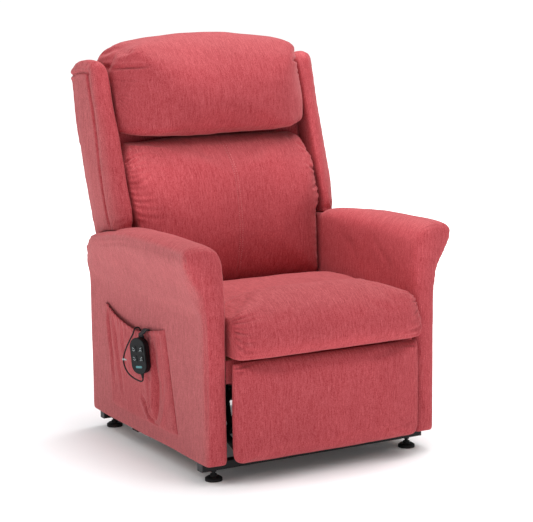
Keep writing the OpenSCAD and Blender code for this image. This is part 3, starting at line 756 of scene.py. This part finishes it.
def lumbar_detail(o, p, n):
    h = waves(p, 230, 41) * 2.0 + waves(p, 95, 42) * 0.7
    for sx in (-1, 1):
        h += end_pleats(p, n, sx * 291, (330, 690), 205, 20, 5.0, 32, -22, 42, 51 + sx, sharp=2.4)
        for a, b, cc, dp, wd in (((288, 752), (268, 768), (238, 792), 3.2, 4.0), ((290, 708), (270, 716), (240, 738), 3.0, 4.0),
                                 ((288, 664), (268, 664), (244, 668), 2.2, 3.6), ((284, 800), (272, 806), (256, 812), 3.0, 3.6)):
            h += fold(p, n, [(sx * a[0], a[1]), (sx * b[0], b[1]), (sx * cc[0], cc[1])], [0, 2], (0, -1, 0), dp, wd, 0.3)
        edge = [(sx * 262, 812), (sx * 276, 760), (sx * 281, 690), (sx * 276, 620), (sx * 268, 560), (sx * 266, 470)]
        h += seam(p, n, edge, [0, 2], (0, -1, 0), depth=1.6, width=3.4, puff=0.5, pucker=1.1, lam=22, reach=16, seed=7 + sx)
    # the stitched line down the middle
    h += seam(p, n, [(0, 815), (0, 700), (0, 560), (0, 440)], [0, 2], (0, -1, 0), depth=1.0, width=3.2, puff=0.5, pucker=0.25, lam=18, reach=14, seed=9)
    return p + n * h[:, None]


def lumbar_limit(p):
    x, y, z = p.T.copy()
    hw = np.interp(z, [598, 625], [279.5, 294.5])
    x = np.clip(x, -hw, hw)
    z = cl(z, 408, 822.5, 2)
    return np.stack([x, y, z], 1)


# arms ---------------------------------------------------------------
ARM_YZ = [(365, 52), (-351, 52), (-351, 592), (-348, 602), (-341, 610), (-328, 616), (-284, 622), (-190, 622), (-82, 618), (31, 608), (100, 598), (160, 586)] + \
    [(160 + 256 * math.cos(math.radians(a)), 330 + 256 * math.sin(math.radians(a))) for a in range(84, 39, -6)] + [(365, 483)]


def arm_top(y):
    q = sorted((a, b) for a, b in ARM_YZ if b > 60)
    return np.interp(y, [a for a, b in q], [b for a, b in q])


def arm_pin(p, n):
    x, y, z = p.T
    ax = np.abs(x)
    flat_out = smooth(ax, 338, 344) * (1 - smooth(z, 400, 470))
    inner = 1 - smooth(ax, 284, 291)
    return np.clip(np.maximum.reduce([0.9 * flat_out, 0.85 * inner, 1 - smooth(z, 56, 70), 0.6 * smooth(y, 340, 362)]), 0, 1)


def arm_detail(sx):
    def f(o, p, n):
        x, y, z = p.T
        zone = ((y > -185) & (y < 258) & (z > 84) & (z < 388) & (n[:, 0] * sx > 0.5)).astype(float)
        h = (waves(p, 240, 61 + sx) * 1.6 + waves(p, 100, 62) * 0.5) * (1 - smooth(np.abs(n[:, 0]), 0.8, 0.98) * (z < 420) * 0.8)
        # edge of the front facing, round its outline
        f_out = [(sx * 345, 60), (sx * 346, 200), (sx * 346, 400), (sx * 350, 450), (sx * 357, 484), (sx * 372, 520), (sx * 388, 556), (sx * 396, 580),
                 (sx * 393, 598), (sx * 372, 612), (sx * 345, 619), (sx * 318, 612), (sx * 296, 594), (sx * 286, 566), (sx * 283, 520), (sx * 283, 480)]
        ring = np.array(f_out)
        # on the side and top just behind the front face
        dist = np.abs(y + 343)
        side = smooth(n[:, 0] * sx, -0.3, 0.3) * (n[:, 1] > -0.8)
        g = -2.6 * np.exp(-(dist / 3.6) ** 2) + 1.0 * np.exp(-((y + 331) / 9) ** 2)
        upper = smooth(z, 120, 220)
        phase = (z + x * sx) / 23 * 2 * math.pi
        g += 0.5 * np.cos(phase) * np.exp(-np.abs(y + 336) / 14) * smooth(z, 380, 470)
        h += g * side * (0.35 + 0.65 * upper)
        # front face: slightly crowned
        front = smooth(-n[:, 1], 0.5, 0.9)
        h += front * 2.0 * np.cos(np.clip((np.abs(x) - 316) / 40, -1, 1) * math.pi / 2) * smooth(z, 60, 120)
        # top panel seam along the outer shoulder
        tz = arm_top(y)
        sh = tz - 30
        w = smooth(n[:, 0] * sx, 0.1, 0.5) * (z > 300)
        dd = z - sh
        h += w * (-1.6 * np.exp(-(dd / 3.6) ** 2) + 0.6 * np.exp(-((dd - 10) / 7) ** 2)) * smooth(y, -345, -320)
        # rear corner seam
        h += seam(p, n, [(352, 60), (352, 250), (352, 470)], [1, 2], (sx, 0, 0), depth=1.4, width=3.6, puff=0.3)
        # inner side: shallow drag lines towards the seat
        if True:
            h += fold(p, n, [(-250, 470), (-180, 520), (-120, 560)], [1, 2], (-sx, 0, 0), 1.6, 12) + fold(p, n, [(-60, 470), (-20, 520), (40, 545)], [1, 2], (-sx, 0, 0), 1.4, 14)
        h = h * (1 - zone)
        # the arm's cloth is drawn in along the pocket's sewn edges
        pk = [(250, 380), (222, 100), (60, 93), (-100, 93), (-184, 96), (-152, 230), (-121, 368)]
        if sx < 0:
            dpk, spk, _, rpk = along(p[:, [1, 2]], pk)
            edge_w = np.where(spk > rpk - 290, 1.0, 0.45)
            h -= 2.6 * np.exp(-(dpk / 3.4) ** 2) * smooth(n[:, 0] * sx, 0.3, 0.7) * edge_w
        # hollow that the pocket is sewn over stays flat
        return p + n * h[:, None]
    return f


def arm_limit(sx):
    def f(p):
        x, y, z = p.T.copy()
        ax = x * sx
        ax = np.maximum(ax, 281.2)
        hi = np.interp(z, [52, 400, 440, 480, 510], [346.6, 346.6, 350.5, 361, 404])
        ax = np.minimum(ax, np.maximum(hi, 346.6))
        ax = np.minimum(ax, 401)
        y = np.clip(y, -353.5, 367)
        z = np.maximum(z, 51)
        # clear of the wing's underside, which swings over the arm
        roof = np.where(y > 140, 330 + np.sqrt(np.maximum(257.2 ** 2 - (y - 160) ** 2, 1)), 1e3)
        z = np.where((y > 150), np.minimum(z, roof), z)
        return np.stack([ax * sx, y, z], 1)
    return f


# wings --------------------------------------------------------------
def wing_front(z):
    return np.interp(z, [560, 603, 618, 652, 705, 790, 915, 1002, 1026, 1039], [250, 152, 148, 152, 172, 205, 250, 280, 292, 310])


def wing_shape(sx):
    def f(p):
        x, y, z = p.T.copy()
        ax = x * sx
        # the nose is rolled: it narrows over its last few millimetres
        d = np.clip((y - wing_front(z)) / 16, 0, 1)
        k = np.sqrt(np.clip(1 - (1 - d) ** 2, 0, 1))
        ax = 311 + (ax - 311) * (0.55 + 0.45 * k)
        return np.stack([ax * sx, y, z], 1)
    return f


def wing_pin(p, n):
    x, y, z = p.T
    return np.maximum.reduce([smooth(y - yr(z), -30, -6), 1 - smooth(np.abs(x), 301, 306)])


def wing_detail(sx):
    def f(o, p, n):
        x, y, z = p.T
        h = waves(p, 160, 71 + sx) * 1.3 + waves(p, 70, 72) * 0.5
        line = [(312, 1012), (306, 985), (280, 910), (250, 801), (224, 696), (203, 625), (192, 597)]
        d, s, side, run = along(p[:, [1, 2]], curve_through(line))
        w = smooth(n[:, 0] * sx, 0.05, 0.4)
        front = (y < np.interp(z, [l[1] for l in line[::-1]], [l[0] for l in line[::-1]]))
        # padded roll in front of the seam, flat panel behind it
        h += w * np.where(front, 4.5 * np.exp(-((d - 18) / 16) ** 2), -2.0 * np.exp(-((d - 30) / 40) ** 2))
        h += seam(p, n, line, [1, 2], (sx, -0.3, 0), depth=5.6, width=3.4, puff=0.25, pucker=0.8, lam=30, reach=14, seed=13)
        # cap seam over the side panel
        h += seam(p, n, [(400, 992), (364, 1002), (336, 1008), (310, 1006)], [1, 2], (sx, 0, 0), depth=4.8, width=3.2, puff=0.5, pucker=0.5, lam=24, reach=12, seed=15)
        cap = w * smooth(z, 1006, 1014) * smooth(y, 300, 316)
        h += 2.6 * cap
        # the underside lies along the arm's rounded rear top
        rad = np.stack([y - 160, z - 330], 1)
        r = np.hypot(rad[:, 0], rad[:, 1])
        down = smooth(-(n[:, 1] * rad[:, 0] + n[:, 2] * rad[:, 1]) / r, 0.35, 0.8) * (z < 660) * (r < 285)
        h += down * (r - 258.6)
        # gathers low on the roll, above the arm
        h += seam(p, n, [(176, 608), (160, 612), (150, 622)], [1, 2], (sx, 0, 0), depth=2.0, width=3.2)
        return p + n * h[:, None]
    return f


def wing_limit(sx):
    def f(p):
        x, y, z = p.T.copy()
        ax = np.maximum(x * sx, 298.4)
        ax = np.minimum(ax, 384)
        # stays above the arm's rounded rear top
        r = np.hypot(y - 160, z - 330)
        low = (z < 640) & (y > 100)
        k = np.where(low & (r < 258.4), 258.4 / np.maximum(r, 1), 1.0)
        y = np.where(low, 160 + (y - 160) * k, y)
        z = np.where(low, 330 + (z - 330) * k, z)
        return np.stack([ax * sx, y, z], 1)
    return f


# leg-rest pad ---------------------------------------------------------
def pad_shape(p):
    x, y, z = p.T.copy()
    r = np.abs(x) / 266
    w = smooth(-y, 353, 372)
    y = y + (9 * r ** 14) * w
    return np.stack([x, y, z], 1)


def pad_pin(p, n):
    x, y, z = p.T
    return np.maximum.reduce([smooth(y, -364, -356), 0.7 * smooth(np.abs(x), 257, 265)])


def pad_detail(o, p, n):
    x, y, z = p.T
    h = waves(p, 190, 81) * 1.2 + waves(p, 85, 82) * 0.5
    h += fold(p, n, [(266, 102), (215, 94), (160, 92), (120, 96)], [0, 2], (0, -1, 0), 2.0, 4.0)
    h += fold(p, n, [(-266, 296), (-250, 297), (-236, 299)], [0, 2], (0, -1, 0), 3.2, 3.0)
    h += fold(p, n, [(-266, 306), (-240, 310), (-205, 313)], [0, 2], (0, -1, 0), 2.4, 3.0)
    h += fold(p, n, [(262, 300), (246, 304), (222, 308)], [0, 2], (0, -1, 0), 2.4, 3.0)
    for sx in (-1, 1):
        h += seam(p, n, [(sx * 259, 70), (sx * 259, 180), (sx * 259, 305)], [0, 2], (0, -1, 0), depth=0.9, width=3.4, puff=0.5, pucker=0.4, lam=40, reach=14, seed=17)
        h += end_pleats(p, n, sx * 266, (-350, 290), 36, 9, 1.6, 14, 0, 70, 91 + sx)
    p = p + n * h[:, None]
    p[:, 0] *= 1.038
    return p


def pad_limit(p):
    x, y, z = p.T.copy()
    x = cl(x, -277.2, 277.2, 2)
    y = np.minimum(y, -353)
    y = np.maximum(y, -394)
    z = cl(z, 53, 317.4, 2)
    return np.stack([x, y, z], 1)


# rear cover and rear panel ----------------------------------------------
def cover_detail(o, p, n):
    x, y, z = p.T
    h = waves(p, 220, 101) * 1.6 + waves(p, 90, 102) * 0.5
    for sx in (-1, 1):
        h += seam(p, n, [(sx * 268, 440), (sx * 268, 600), (sx * 276, 800), (sx * 280, 985)], [0, 2], (0, 1, 0), depth=2.2, width=4.2, puff=0.4, pucker=0.4, lam=44, reach=20, seed=3)
    h += seam(p, n, [(-268, 470), (0, 466), (268, 470)], [0, 2], (0, 1, 0), depth=1.8, width=4.2, puff=0.4, pucker=0.6, lam=48, reach=24, seed=4)
    return p + n * h[:, None]


def cover_limit(p):
    x, y, z = p.T.copy()
    x = cl(x, -297.4, 297.4, 2)
    return np.stack([x, y, z], 1)


def rear_detail(o, p, n):
    h = waves(p, 200, 111) * 1.0
    for sx in (-1, 1):
        h += seam(p, n, [(sx * 268, 70), (sx * 268, 210), (sx * 268, 358)], [0, 2], (0, 1, 0), depth=1.4, width=4.2, puff=0.4, pucker=0.3, lam=40, reach=18, seed=5)
    h += seam(p, n, [(-268, 350), (0, 349), (268, 350)], [0, 2], (0, 1, 0), depth=1.4, width=4.2, puff=0.4, pucker=0.4, lam=46, reach=18, seed=6)
    h += seam(p, n, [(-268, 76), (0, 75), (268, 76)], [0, 2], (0, 1, 0), depth=1.4, width=4.2, puff=0.4, pucker=0.4, lam=46, reach=18, seed=6)
    return p + n * h[:, None]


def rear_limit(p):
    x, y, z = p.T.copy()
    return np.stack([cl(x, -281.2, 281.2, 1), np.clip(y, 350, 365), np.clip(z, 59, 366)], 1)


soft("seat_cushion", 6.5, 7, 5.0, seat_shape, seat_pin, 16, seat_limit, seat_detail, fill=0.85)
soft("head_pillow", 6.5, 12, 7.0, pillow_shape, pillow_pin, 18, pillow_limit, pillow_detail, fill=0.75)
soft("lumbar_cushion", 6.5, 10, 6.0, lumbar_shape, lumbar_pin, 16, lumbar_limit, lumbar_detail, fill=0.75)
soft("leg_rest_pad", 6.0, 4, 2.0, pad_shape, pad_pin, 6, pad_limit, pad_detail, fill=0.6)
for side_name, sgn in (("left", 1), ("right", -1)):
    soft("wing_" + side_name, 6.0, 4, 1.5, wing_shape(sgn), wing_pin, 8, wing_limit(sgn), wing_detail(sgn), fill=0.7)
    soft("arm_cover_" + side_name, 8.0, 6, 1.0, None, arm_pin, 5, arm_limit(sgn), arm_detail(sgn), fill=0.9, mat=FABRIC_ARM)
soft("back_rear_cover", 7.5, 3, 0.5, None, None, 3, cover_limit, cover_detail, pressure=0, fill=0.3)
soft("rear_panel", 6.0, 2, 0.2, None, None, 3, rear_limit, rear_detail, sub=0, pressure=0, fill=0.15)
run_cloth()
finish_soft()


# ------------------------------------------------------------------ side pocket
POCKET_TOP = curve_through([(248, 377), (224, 379), (200, 370), (150, 356), (90, 346), (40, 341), (0, 343), (-47, 352), (-90, 361), (-119, 367)], 90)
POCKET_X0 = 346.0


def pocket_surface(nu=210, nv=130):
    u = np.linspace(0, 1, nu)
    v = np.linspace(0, 1, nv)
    yt = np.interp(u, [0, 1], [245, -118])
    zt = np.interp(-yt, -POCKET_TOP[:, 0], POCKET_TOP[:, 1])
    yb = np.interp(u, [0, 1], [222, -182])
    zb = np.full_like(yb, 96.0) + 6 * (2 * u - 1) ** 8
    U, V = np.meshgrid(u, v, indexing="ij")
    Y = yb[:, None] + (yt - yb)[:, None] * V
    Z = zb[:, None] + (zt - zb)[:, None] * V
    # how far it stands off the arm: sewn at the sides and bottom, open along the mouth
    edge = np.minimum(np.minimum(U, 1 - U) * 390, V * 262)
    off = -1.5 + 5.6 * (1 - np.exp(-(edge / 6.5) ** 1.3))
    off += 6.5 * np.sin(np.pi * np.clip(U, 0, 1)) ** 0.8 * smooth(V, 0.10, 0.95)
    P2 = np.stack([Y.ravel(), Z.ravel()], 1)

    def fold2(poly, depth, width, lip=0.5, lip2=0.0, a=0.8, b=0.8):
        d, s, side, run = along(P2, curve_through(poly))
        t = np.clip(s / run, 0, 1)
        e = np.clip(t / a, 0, 1) ** 0.6 * np.clip((1 - t) / b, 0, 1) ** 0.6
        sd = d * side
        return ((-depth * np.exp(-(sd / width) ** 2) + lip * depth * np.exp(-((sd - 2 * width) / (1.4 * width)) ** 2)
                 + lip2 * depth * np.exp(-((sd + 2 * width) / (1.4 * width)) ** 2)) * e).reshape(U.shape)

    f = np.zeros_like(U)
    # the deep V below the handset
    f += fold2([(-60, 330), (-72, 270), (-88, 215), (-84, 160), (-62, 98)], 13.0, 12, 0.9, 0.1, 0.25, 0.12)
    f += fold2([(-18, 300), (-30, 230), (-44, 170), (-58, 100)], 6.0, 10, 0.5, 0.7, 0.5, 0.12)
    f += fold2([(20, 168), (-6, 146), (-36, 122), (-58, 100)], 8.0, 7, 0.6, 0.3, 0.5, 0.10)
    f += fold2([(-120, 250), (-112, 190), (-90, 130), (-66, 100)], 5.5, 9, 0.3, 0.5, 0.5, 0.15)
    # vertical folds below the rear end of the mouth
    f += fold2([(222, 366), (214, 330), (206, 280), (196, 220), (190, 160)], 6.5, 6.5, 0.7, 0.3, 0.2, 0.8)
    f += fold2([(176, 348), (170, 310), (160, 260), (148, 200), (134, 140)], 5.5, 7.5, 0.7, 0.3, 0.3, 0.8)
    f += fold2([(120, 338), (118, 300), (108, 240), (100, 190)], 3.6, 8, 0.6, 0.3, 0.3, 0.8)
    f += fold2([(86, 344), (70, 300), (30, 250), (0, 200)], 3.0, 10, 0.5, 0.3, 0.4, 0.8)
    f += fold2([(-100, 352), (-104, 320), (-112, 280)], 2.2, 5, 0.6, 0.4, 0.25, 0.8)
    # small gathers just below the mouth
    top = (1 - V) * 260
    f += 1.5 * np.cos(2 * np.pi * (Y + 6 * np.sin(Y / 31)) / 21.0) * np.exp(-(top / 26)) * smooth(edge, 3, 18)
    off = off + f * smooth(edge, 0, 14)
    # the mouth's hem, rolled a little proud, and pulled in where the strap holds it
    off += 1.8 * np.exp(-((top - 6) / 5) ** 2) * smooth(np.minimum(U, 1 - U) * 390, 4, 26)
    off -= 2.2 * np.exp(-((Y + 31) / 20) ** 2) * np.exp(-(top / 20) ** 2)
    lump = waves(np.stack([Y.ravel(), Z.ravel(), 0 * Y.ravel()], 1), 90, 121).reshape(U.shape)
    off += 0.7 * lump * smooth(edge, 2, 20)
    # room for what hangs in front of it
    hs = smooth(Y, -82, -66) * (1 - smooth(Y, 8, 24)) * smooth(Z, 218, 232)
    off = np.minimum(off, 14.5 + 3.5 * (1 - hs))
    return Y, Z, np.maximum(off, -2.0)


def make_pocket():
    Y, Z, off = pocket_surface()
    nu, nv = Y.shape
    thick = 1.6
    front = np.stack([-(POCKET_X0 + off), Y, Z], -1).reshape(-1, 3)
    inner = np.stack([-(POCKET_X0 + off - thick), Y, Z], -1).reshape(-1, 3)
    verts = np.vstack([front, inner]) / 1000
    idx = np.arange(nu * nv).reshape(nu, nv)
    faces = []
    a, b, c, d = idx[:-1, :-1], idx[1:, :-1], idx[1:, 1:], idx[:-1, 1:]
    quads = np.stack([a, d, c, b], -1).reshape(-1, 4)
    N = nu * nv
    faces += quads.tolist()
    faces += (quads[:, ::-1] + N).tolist()
    rim = [idx[:, 0], idx[-1, :], idx[::-1, -1], idx[0, ::-1]]
    for r in rim:
        for i in range(len(r) - 1):
            p, q = int(r[i]), int(r[i + 1])
            faces.append([p, q, q + N, p + N])
    me = bpy.data.meshes.new("side_pocket_cloth")
    me.from_pydata(verts.tolist(), [], faces)
    me.update()
    bm = bmesh.new(); bm.from_mesh(me)
    bmesh.ops.recalc_face_normals(bm, faces=bm.faces)
    bm.to_mesh(me); bm.free()
    o = new_object("side_pocket_cloth", me)
    me.materials.append(FABRIC_POCKET)
    me.shade_smooth()
    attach(o, "chassis")
    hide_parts("side_pocket")
    return o


pocket = make_pocket()


def sheet_area(o):
    """Half the area of the closed sheet, in square metres."""
    a = np.empty(len(o.data.polygons), np.float32)
    o.data.polygons.foreach_get("area", a)
    return float(a.sum() / 2)


# ------------------------------------------------------------------ lining cloths over the timber
def lining(name, grid, nu, nv, thick, normal, body, mat):
    """A thin cloth stapled over a frame. grid(u, v) gives a point in millimetres; normal points away from the frame."""
    U, V = np.meshgrid(np.linspace(0, 1, nu), np.linspace(0, 1, nv), indexing="ij")
    p = grid(U, V).reshape(-1, 3)
    nrm = np.asarray(normal, float)
    verts = np.vstack([p, p - nrm * thick]) / 1000
    idx = np.arange(nu * nv).reshape(nu, nv)
    q = np.stack([idx[:-1, :-1], idx[1:, :-1], idx[1:, 1:], idx[:-1, 1:]], -1).reshape(-1, 4)
    faces = q.tolist() + (q[:, ::-1] + nu * nv).tolist()
    for r in (idx[:, 0], idx[-1, :], idx[::-1, -1], idx[0, ::-1]):
        for i in range(len(r) - 1):
            a, b = int(r[i]), int(r[i + 1])
            faces.append([a, b, b + nu * nv, a + nu * nv])
    me = bpy.data.meshes.new(name)
    me.from_pydata(verts.tolist(), [], faces)
    me.update()
    bm = bmesh.new(); bm.from_mesh(me)
    bmesh.ops.recalc_face_normals(bm, faces=bm.faces)
    bm.to_mesh(me); bm.free()
    o = new_object(name, me)
    me.materials.append(mat)
    me.shade_smooth()
    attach(o, body)
    return o


def rail_grid(U, V):
    x = -281 + 562 * U
    # the cloth is cut away over the leg rest's ribs
    low = 302.5 - 43.5 * smooth(np.abs(x), 239, 244)
    z = low + (319.5 - low) * V
    return np.stack([x, -332.4 - 0.5 * np.sin(x / 23) * np.sin(np.pi * V) + 0 * z, z], -1)


front_lining = lining("front_rail_lining", rail_grid, 90, 10, 1.2, (0, -1, 0), "chassis", FABRIC)


def back_grid(U, V):
    x = -296.5 + 593 * U
    z = 412 + 586 * V
    return np.stack([x, yr(z) - 65.2 + 0.3 * np.sin(x / 31) * np.sin(np.pi * V), z], -1)


back_lining = lining("back_frame_lining", back_grid, 60, 60, 1.2, (0, -0.979, 0.204), "backrest", FABRIC)


def low_grid(U, V):
    x = -274 + 548 * U
    z = 353 + 75 * V
    return np.stack([x, yr(z) - 20.3 + 0.3 * np.sin(x / 31) * np.sin(np.pi * V), z], -1)


low_lining = lining("back_rail_lining", low_grid, 60, 10, 1.2, (0, 0.979, -0.204), "backrest", FABRIC)


# ------------------------------------------------------------------ cord, marks and stitches
CORD = [(-375.5, -46.2, 229.4), (-375.3, -46.7, 225.5), (-375.7, -44.7, 221), (-376.6, -39.5, 218.3), (-377.6, -32, 217.5), (-378.8, -22, 217.7),
        (-379.6, -10, 218.3), (-380, 3, 219.3), (-380, 16, 221), (-380, 29, 223.8), (-380, 41, 228.3), (-380, 51.5, 235), (-380, 59, 243.5),
        (-379.6, 63, 254), (-378.5, 64, 265), (-376.8, 61.5, 276), (-374.8, 56.5, 288), (-372.5, 50, 300), (-370.3, 42, 312), (-368.2, 34, 323.5),
        (-366.6, 27, 333.5), (-366, 22.5, 342), (-363.9, 20.5, 347.8), (-358, 19, 350.5), (-352.2, 18.3, 348), (-349.8, 18, 342), (-349.8, 18.5, 328),
        (-349.8, 19.5, 315), (-349.8, 21, 301), (-349.8, 22.5, 287), (-349.8, 24, 274), (-349.8, 24, 262)]


def make_cord():
    cu = bpy.data.curves.new("handset_cord_curve", "CURVE")
    cu.dimensions = "3D"
    cu.bevel_depth, cu.bevel_resolution, cu.resolution_u = 0.002, 5, 8
    cu.use_fill_caps = True
    sp = cu.splines.new("BEZIER")
    sp.bezier_points.add(len(CORD) - 1)
    P = np.array(CORD) / 1000
    for i, b in enumerate(sp.bezier_points):
        t = P[min(i + 1, len(P) - 1)] - P[max(i - 1, 0)]
        t = t / np.linalg.norm(t)
        la = np.linalg.norm(P[i] - P[i - 1]) / 3 if i else 0.001
        lb = np.linalg.norm(P[i + 1] - P[i]) / 3 if i < len(P) - 1 else 0.001
        b.co = P[i]
        b.handle_left_type = b.handle_right_type = "FREE"
        b.handle_left, b.handle_right = P[i] - t * la, P[i] + t * lb
    o = new_object("handset_cord_lead", cu)
    cu.materials.append(RUBBER)
    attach(o, "chassis")
    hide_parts("handset_cord")
    return o


make_cord()


def hs_world(x, y, z):
    """A point of the handset's own frame (x across, y along, z out of its face) in metres."""
    a, b = math.radians(22), math.radians(-6.5)
    v = Vector((-z, -x, y))
    v = Vector((v.x, v.y * math.cos(b) - v.z * math.sin(b), v.y * math.sin(b) + v.z * math.cos(b)))
    v = Vector((v.x * math.cos(a) - v.y * math.sin(a), v.x * math.sin(a) + v.y * math.cos(a), v.z))
    return (v + Vector((-378, -40, 288))) / 1000


def mark(name, shape, centre, body):
    """A thin raised mark on a button: a chevron and a bar, printed proud by a hair."""
    bm = bmesh.new()
    for loop in shape:
        low = [bm.verts.new(hs_world(centre[0] + a, centre[1] + b, 11.35)) for a, b in loop]
        high = [bm.verts.new(hs_world(centre[0] + a, centre[1] + b, 11.62)) for a, b in loop]
        bm.faces.new(high)
        bm.faces.new(low[::-1])
        k = len(loop)
        for i in range(k):
            bm.faces.new([low[i], low[(i + 1) % k], high[(i + 1) % k], high[i]])
    bmesh.ops.recalc_face_normals(bm, faces=bm.faces)
    me = bpy.data.meshes.new(name)
    bm.to_mesh(me); bm.free()
    o = new_object(name, me)
    me.materials.append(MARK)
    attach(o, body)
    return o


def bar(x0, y0, x1, y1, w):
    d = np.array([x1 - x0, y1 - y0]); d = d / np.linalg.norm(d); q = np.array([-d[1], d[0]]) * w / 2
    a, b = np.array([x0, y0]), np.array([x1, y1])
    return [tuple(a + q), tuple(a - q), tuple(b - q), tuple(b + q)]


UP = [bar(-3.6, -4.6, 0.2, -1.2, 1.5), bar(0.4, -1.5, 4.2, -4.9, 1.5), bar(-1.2, 1.2, 4.0, 4.6, 1.7)]
DOWN = [bar(-4.0, -1.0, 0.0, -4.4, 1.5), bar(0.2, -4.1, 4.0, -0.9, 1.5), bar(-4.2, 4.4, 1.4, 2.0, 1.7)]
for nm, c, shp in (("back_up", (11.5, 18), UP), ("back_down", (-11.5, 18), DOWN), ("legs_up", (11.5, -7), UP), ("legs_down", (-11.5, -7), DOWN)):
    mark("mark_" + nm, shp, c, "button_" + nm)


def stitches(name, target, start_dir, points, body, pitch=6.0, length=3.6, r=0.42, rise=0.25):
    """A row of short thread stitches laid on a piece's surface, found by casting rays onto it."""
    dg = bpy.context.evaluated_depsgraph_get()
    ev = target.evaluated_get(dg)
    poly = curve_through(points, 200) / 1000
    seg = np.linalg.norm(np.diff(poly, axis=0), axis=1)
    run = np.concatenate([[0], np.cumsum(seg)])
    n = int(run[-1] * 1000 / pitch)
    d = Vector(start_dir).normalized()
    bm = bmesh.new()
    inv = target.matrix_world.inverted()
    for i in range(n):
        s0 = (i + 0.2) * pitch / 1000
        ends = []
        for s in (s0, s0 + length / 2000, s0 + length / 1000):
            q = Vector([np.interp(s, run, poly[:, k]) for k in range(3)])
            hit, loc, nor, _ = ev.ray_cast(inv @ (q - d * 0.2), d)
            if not hit:
                break
            ends.append((loc, nor))
        if len(ends) < 3:
            continue
        prev = None
        for j, (loc, nor) in enumerate(ends):
            lift = (rise if j == 1 else -0.25) / 1000
            c = loc + nor * lift
            t = (ends[2][0] - ends[0][0]).normalized()
            b = nor.cross(t).normalized()
            ring = [bm.verts.new(c + (b * math.cos(a) + nor * math.sin(a)) * (r / 1000 * (1.0 if j == 1 else 0.75))) for a in (k * math.pi / 3 for k in range(6))]
            if prev:
                for k in range(6):
                    bm.faces.new([prev[k], prev[(k + 1) % 6], ring[(k + 1) % 6], ring[k]])
            else:
                bm.faces.new(ring[::-1])
            prev = ring
        bm.faces.new(prev)
    bmesh.ops.recalc_face_normals(bm, faces=bm.faces)
    me = bpy.data.meshes.new(name)
    bm.to_mesh(me); bm.free()
    o = new_object(name, me)
    me.materials.append(THREAD)
    me.shade_smooth()
    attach(o, body)
    return o


lumbar = bpy.data.objects["lumbar_cushion_upholstery"]
for k, sx in enumerate((-4.2, 4.2)):
    stitches("lumbar_stitch_row_%d" % (k + 1), lumbar, (0, 1, 0), [(sx, -50, 800), (sx, -50, 700), (sx, -50, 580), (sx, -50, 450)], "backrest")


# ------------------------------------------------------------------ stage and light
WORLD = 0.37


def make_stage():
    me = bpy.data.meshes.new("floor")
    s = 14
    me.from_pydata([(-s, -s, 0), (s, -s, 0), (s, s, 0), (-s, s, 0)], [], [(0, 1, 2, 3)])
    o = new_object("floor", me)
    m = Mat("floor_white")
    n = m.noise(m.mapping((3, 3, 3)), 1.0, 2.0, 0.5)
    m.link(m.ramp(n, [(0.3, (0.86, 0.865, 0.87)), (0.7, (0.885, 0.885, 0.89))]), m.b.inputs["Base Color"])
    m.set(Roughness=0.9, Specular_IOR_Level=0.1, Emission_Color=(1, 1, 1, 1))
    # painted light: the floor glows, its emission rising away from the chair, so the sweep brightens away from it as a
    # lit studio floor does
    ln = m.add("ShaderNodeVectorMath", operation="LENGTH")
    m.link(m.tc.outputs["Object"], ln.inputs[0])
    m.link(m.maprange(ln.outputs["Value"], 0.7, 2.6, 0.03, 0.95), m.b.inputs["Emission Strength"])
    me.materials.append(m.m)
    w = bpy.data.worlds.new("studio")
    w.use_nodes = True
    nt = w.node_tree
    bg = nt.nodes["Background"]
    bg.inputs[0].default_value = (0.96, 0.98, 1.0, 1)
    bg.inputs[1].default_value = WORLD
    seen = nt.nodes.new("ShaderNodeBackground")
    seen.inputs[0].default_value = (1, 1, 1, 1)
    seen.inputs[1].default_value = 1.05
    lp = nt.nodes.new("ShaderNodeLightPath")
    mx = nt.nodes.new("ShaderNodeMixShader")
    nt.links.new(lp.outputs["Is Camera Ray"], mx.inputs[0])
    nt.links.new(bg.outputs[0], mx.inputs[1])
    nt.links.new(seen.outputs[0], mx.inputs[2])
    nt.links.new(mx.outputs[0], nt.nodes["World Output"].inputs[0])
    scene.world = w

    def area(name, loc, target, size, power, col=(1, 1, 1)):
        d = bpy.data.lights.new(name, "AREA")
        d.shape = "RECTANGLE"
        d.size, d.size_y = size
        d.energy, d.color = power, col
        a = bpy.data.objects.new(name, d)
        scene.collection.objects.link(a)
        a.location = loc
        a.rotation_mode = "QUATERNION"
        a.rotation_quaternion = (Vector(target) - Vector(loc)).to_track_quat("-Z", "Y")

    area("key_softbox", (0.5, -1.7, 3.7), (0, 0, 0.5), (1.8, 1.8), 16, (1.0, 0.985, 0.97))
    area("left_fill", (-3.6, -0.6, 1.3), (0, 0, 0.5), (1.6, 2.2), 11, (0.98, 0.99, 1.0))
    area("top_softbox", (0.3, 0.1, 3.6), (0, 0, 0.5), (2.0, 2.0), 94, (1, 1, 1))
    lit = bpy.data.collections.new("floor_only")
    scene.collection.children.link(lit)
    lit.objects.link(o)
    for nm, loc, size, power in (("floor_light_right", (2.4, 0.6, 3.4), (2.2, 2.2), 60), ("floor_light_front", (0.6, -2.6, 3.4), (2.4, 2.4), 44), ("floor_light_left", (-2.6, -0.4, 3.4), (2.4, 2.4), 58)):
        area(nm, loc, (0, 0, 0), size, power)
        bpy.data.objects[nm].light_linking.receiver_collection = lit
    # a soft fill for the seat's recess, which the softboxes reach badly
    inner = bpy.data.collections.new("recess")
    scene.collection.children.link(inner)
    for nm in ("lumbar_cushion_upholstery", "arm_cover_left_upholstery", "wing_left_upholstery"):
        inner.objects.link(bpy.data.objects[nm])
    area("recess_fill", (-1.7, -1.3, 2.7), (0.1, 0.0, 0.6), (1.4, 1.4), 36, (1, 1, 1))
    bpy.data.objects["recess_fill"].light_linking.receiver_collection = inner


make_stage()
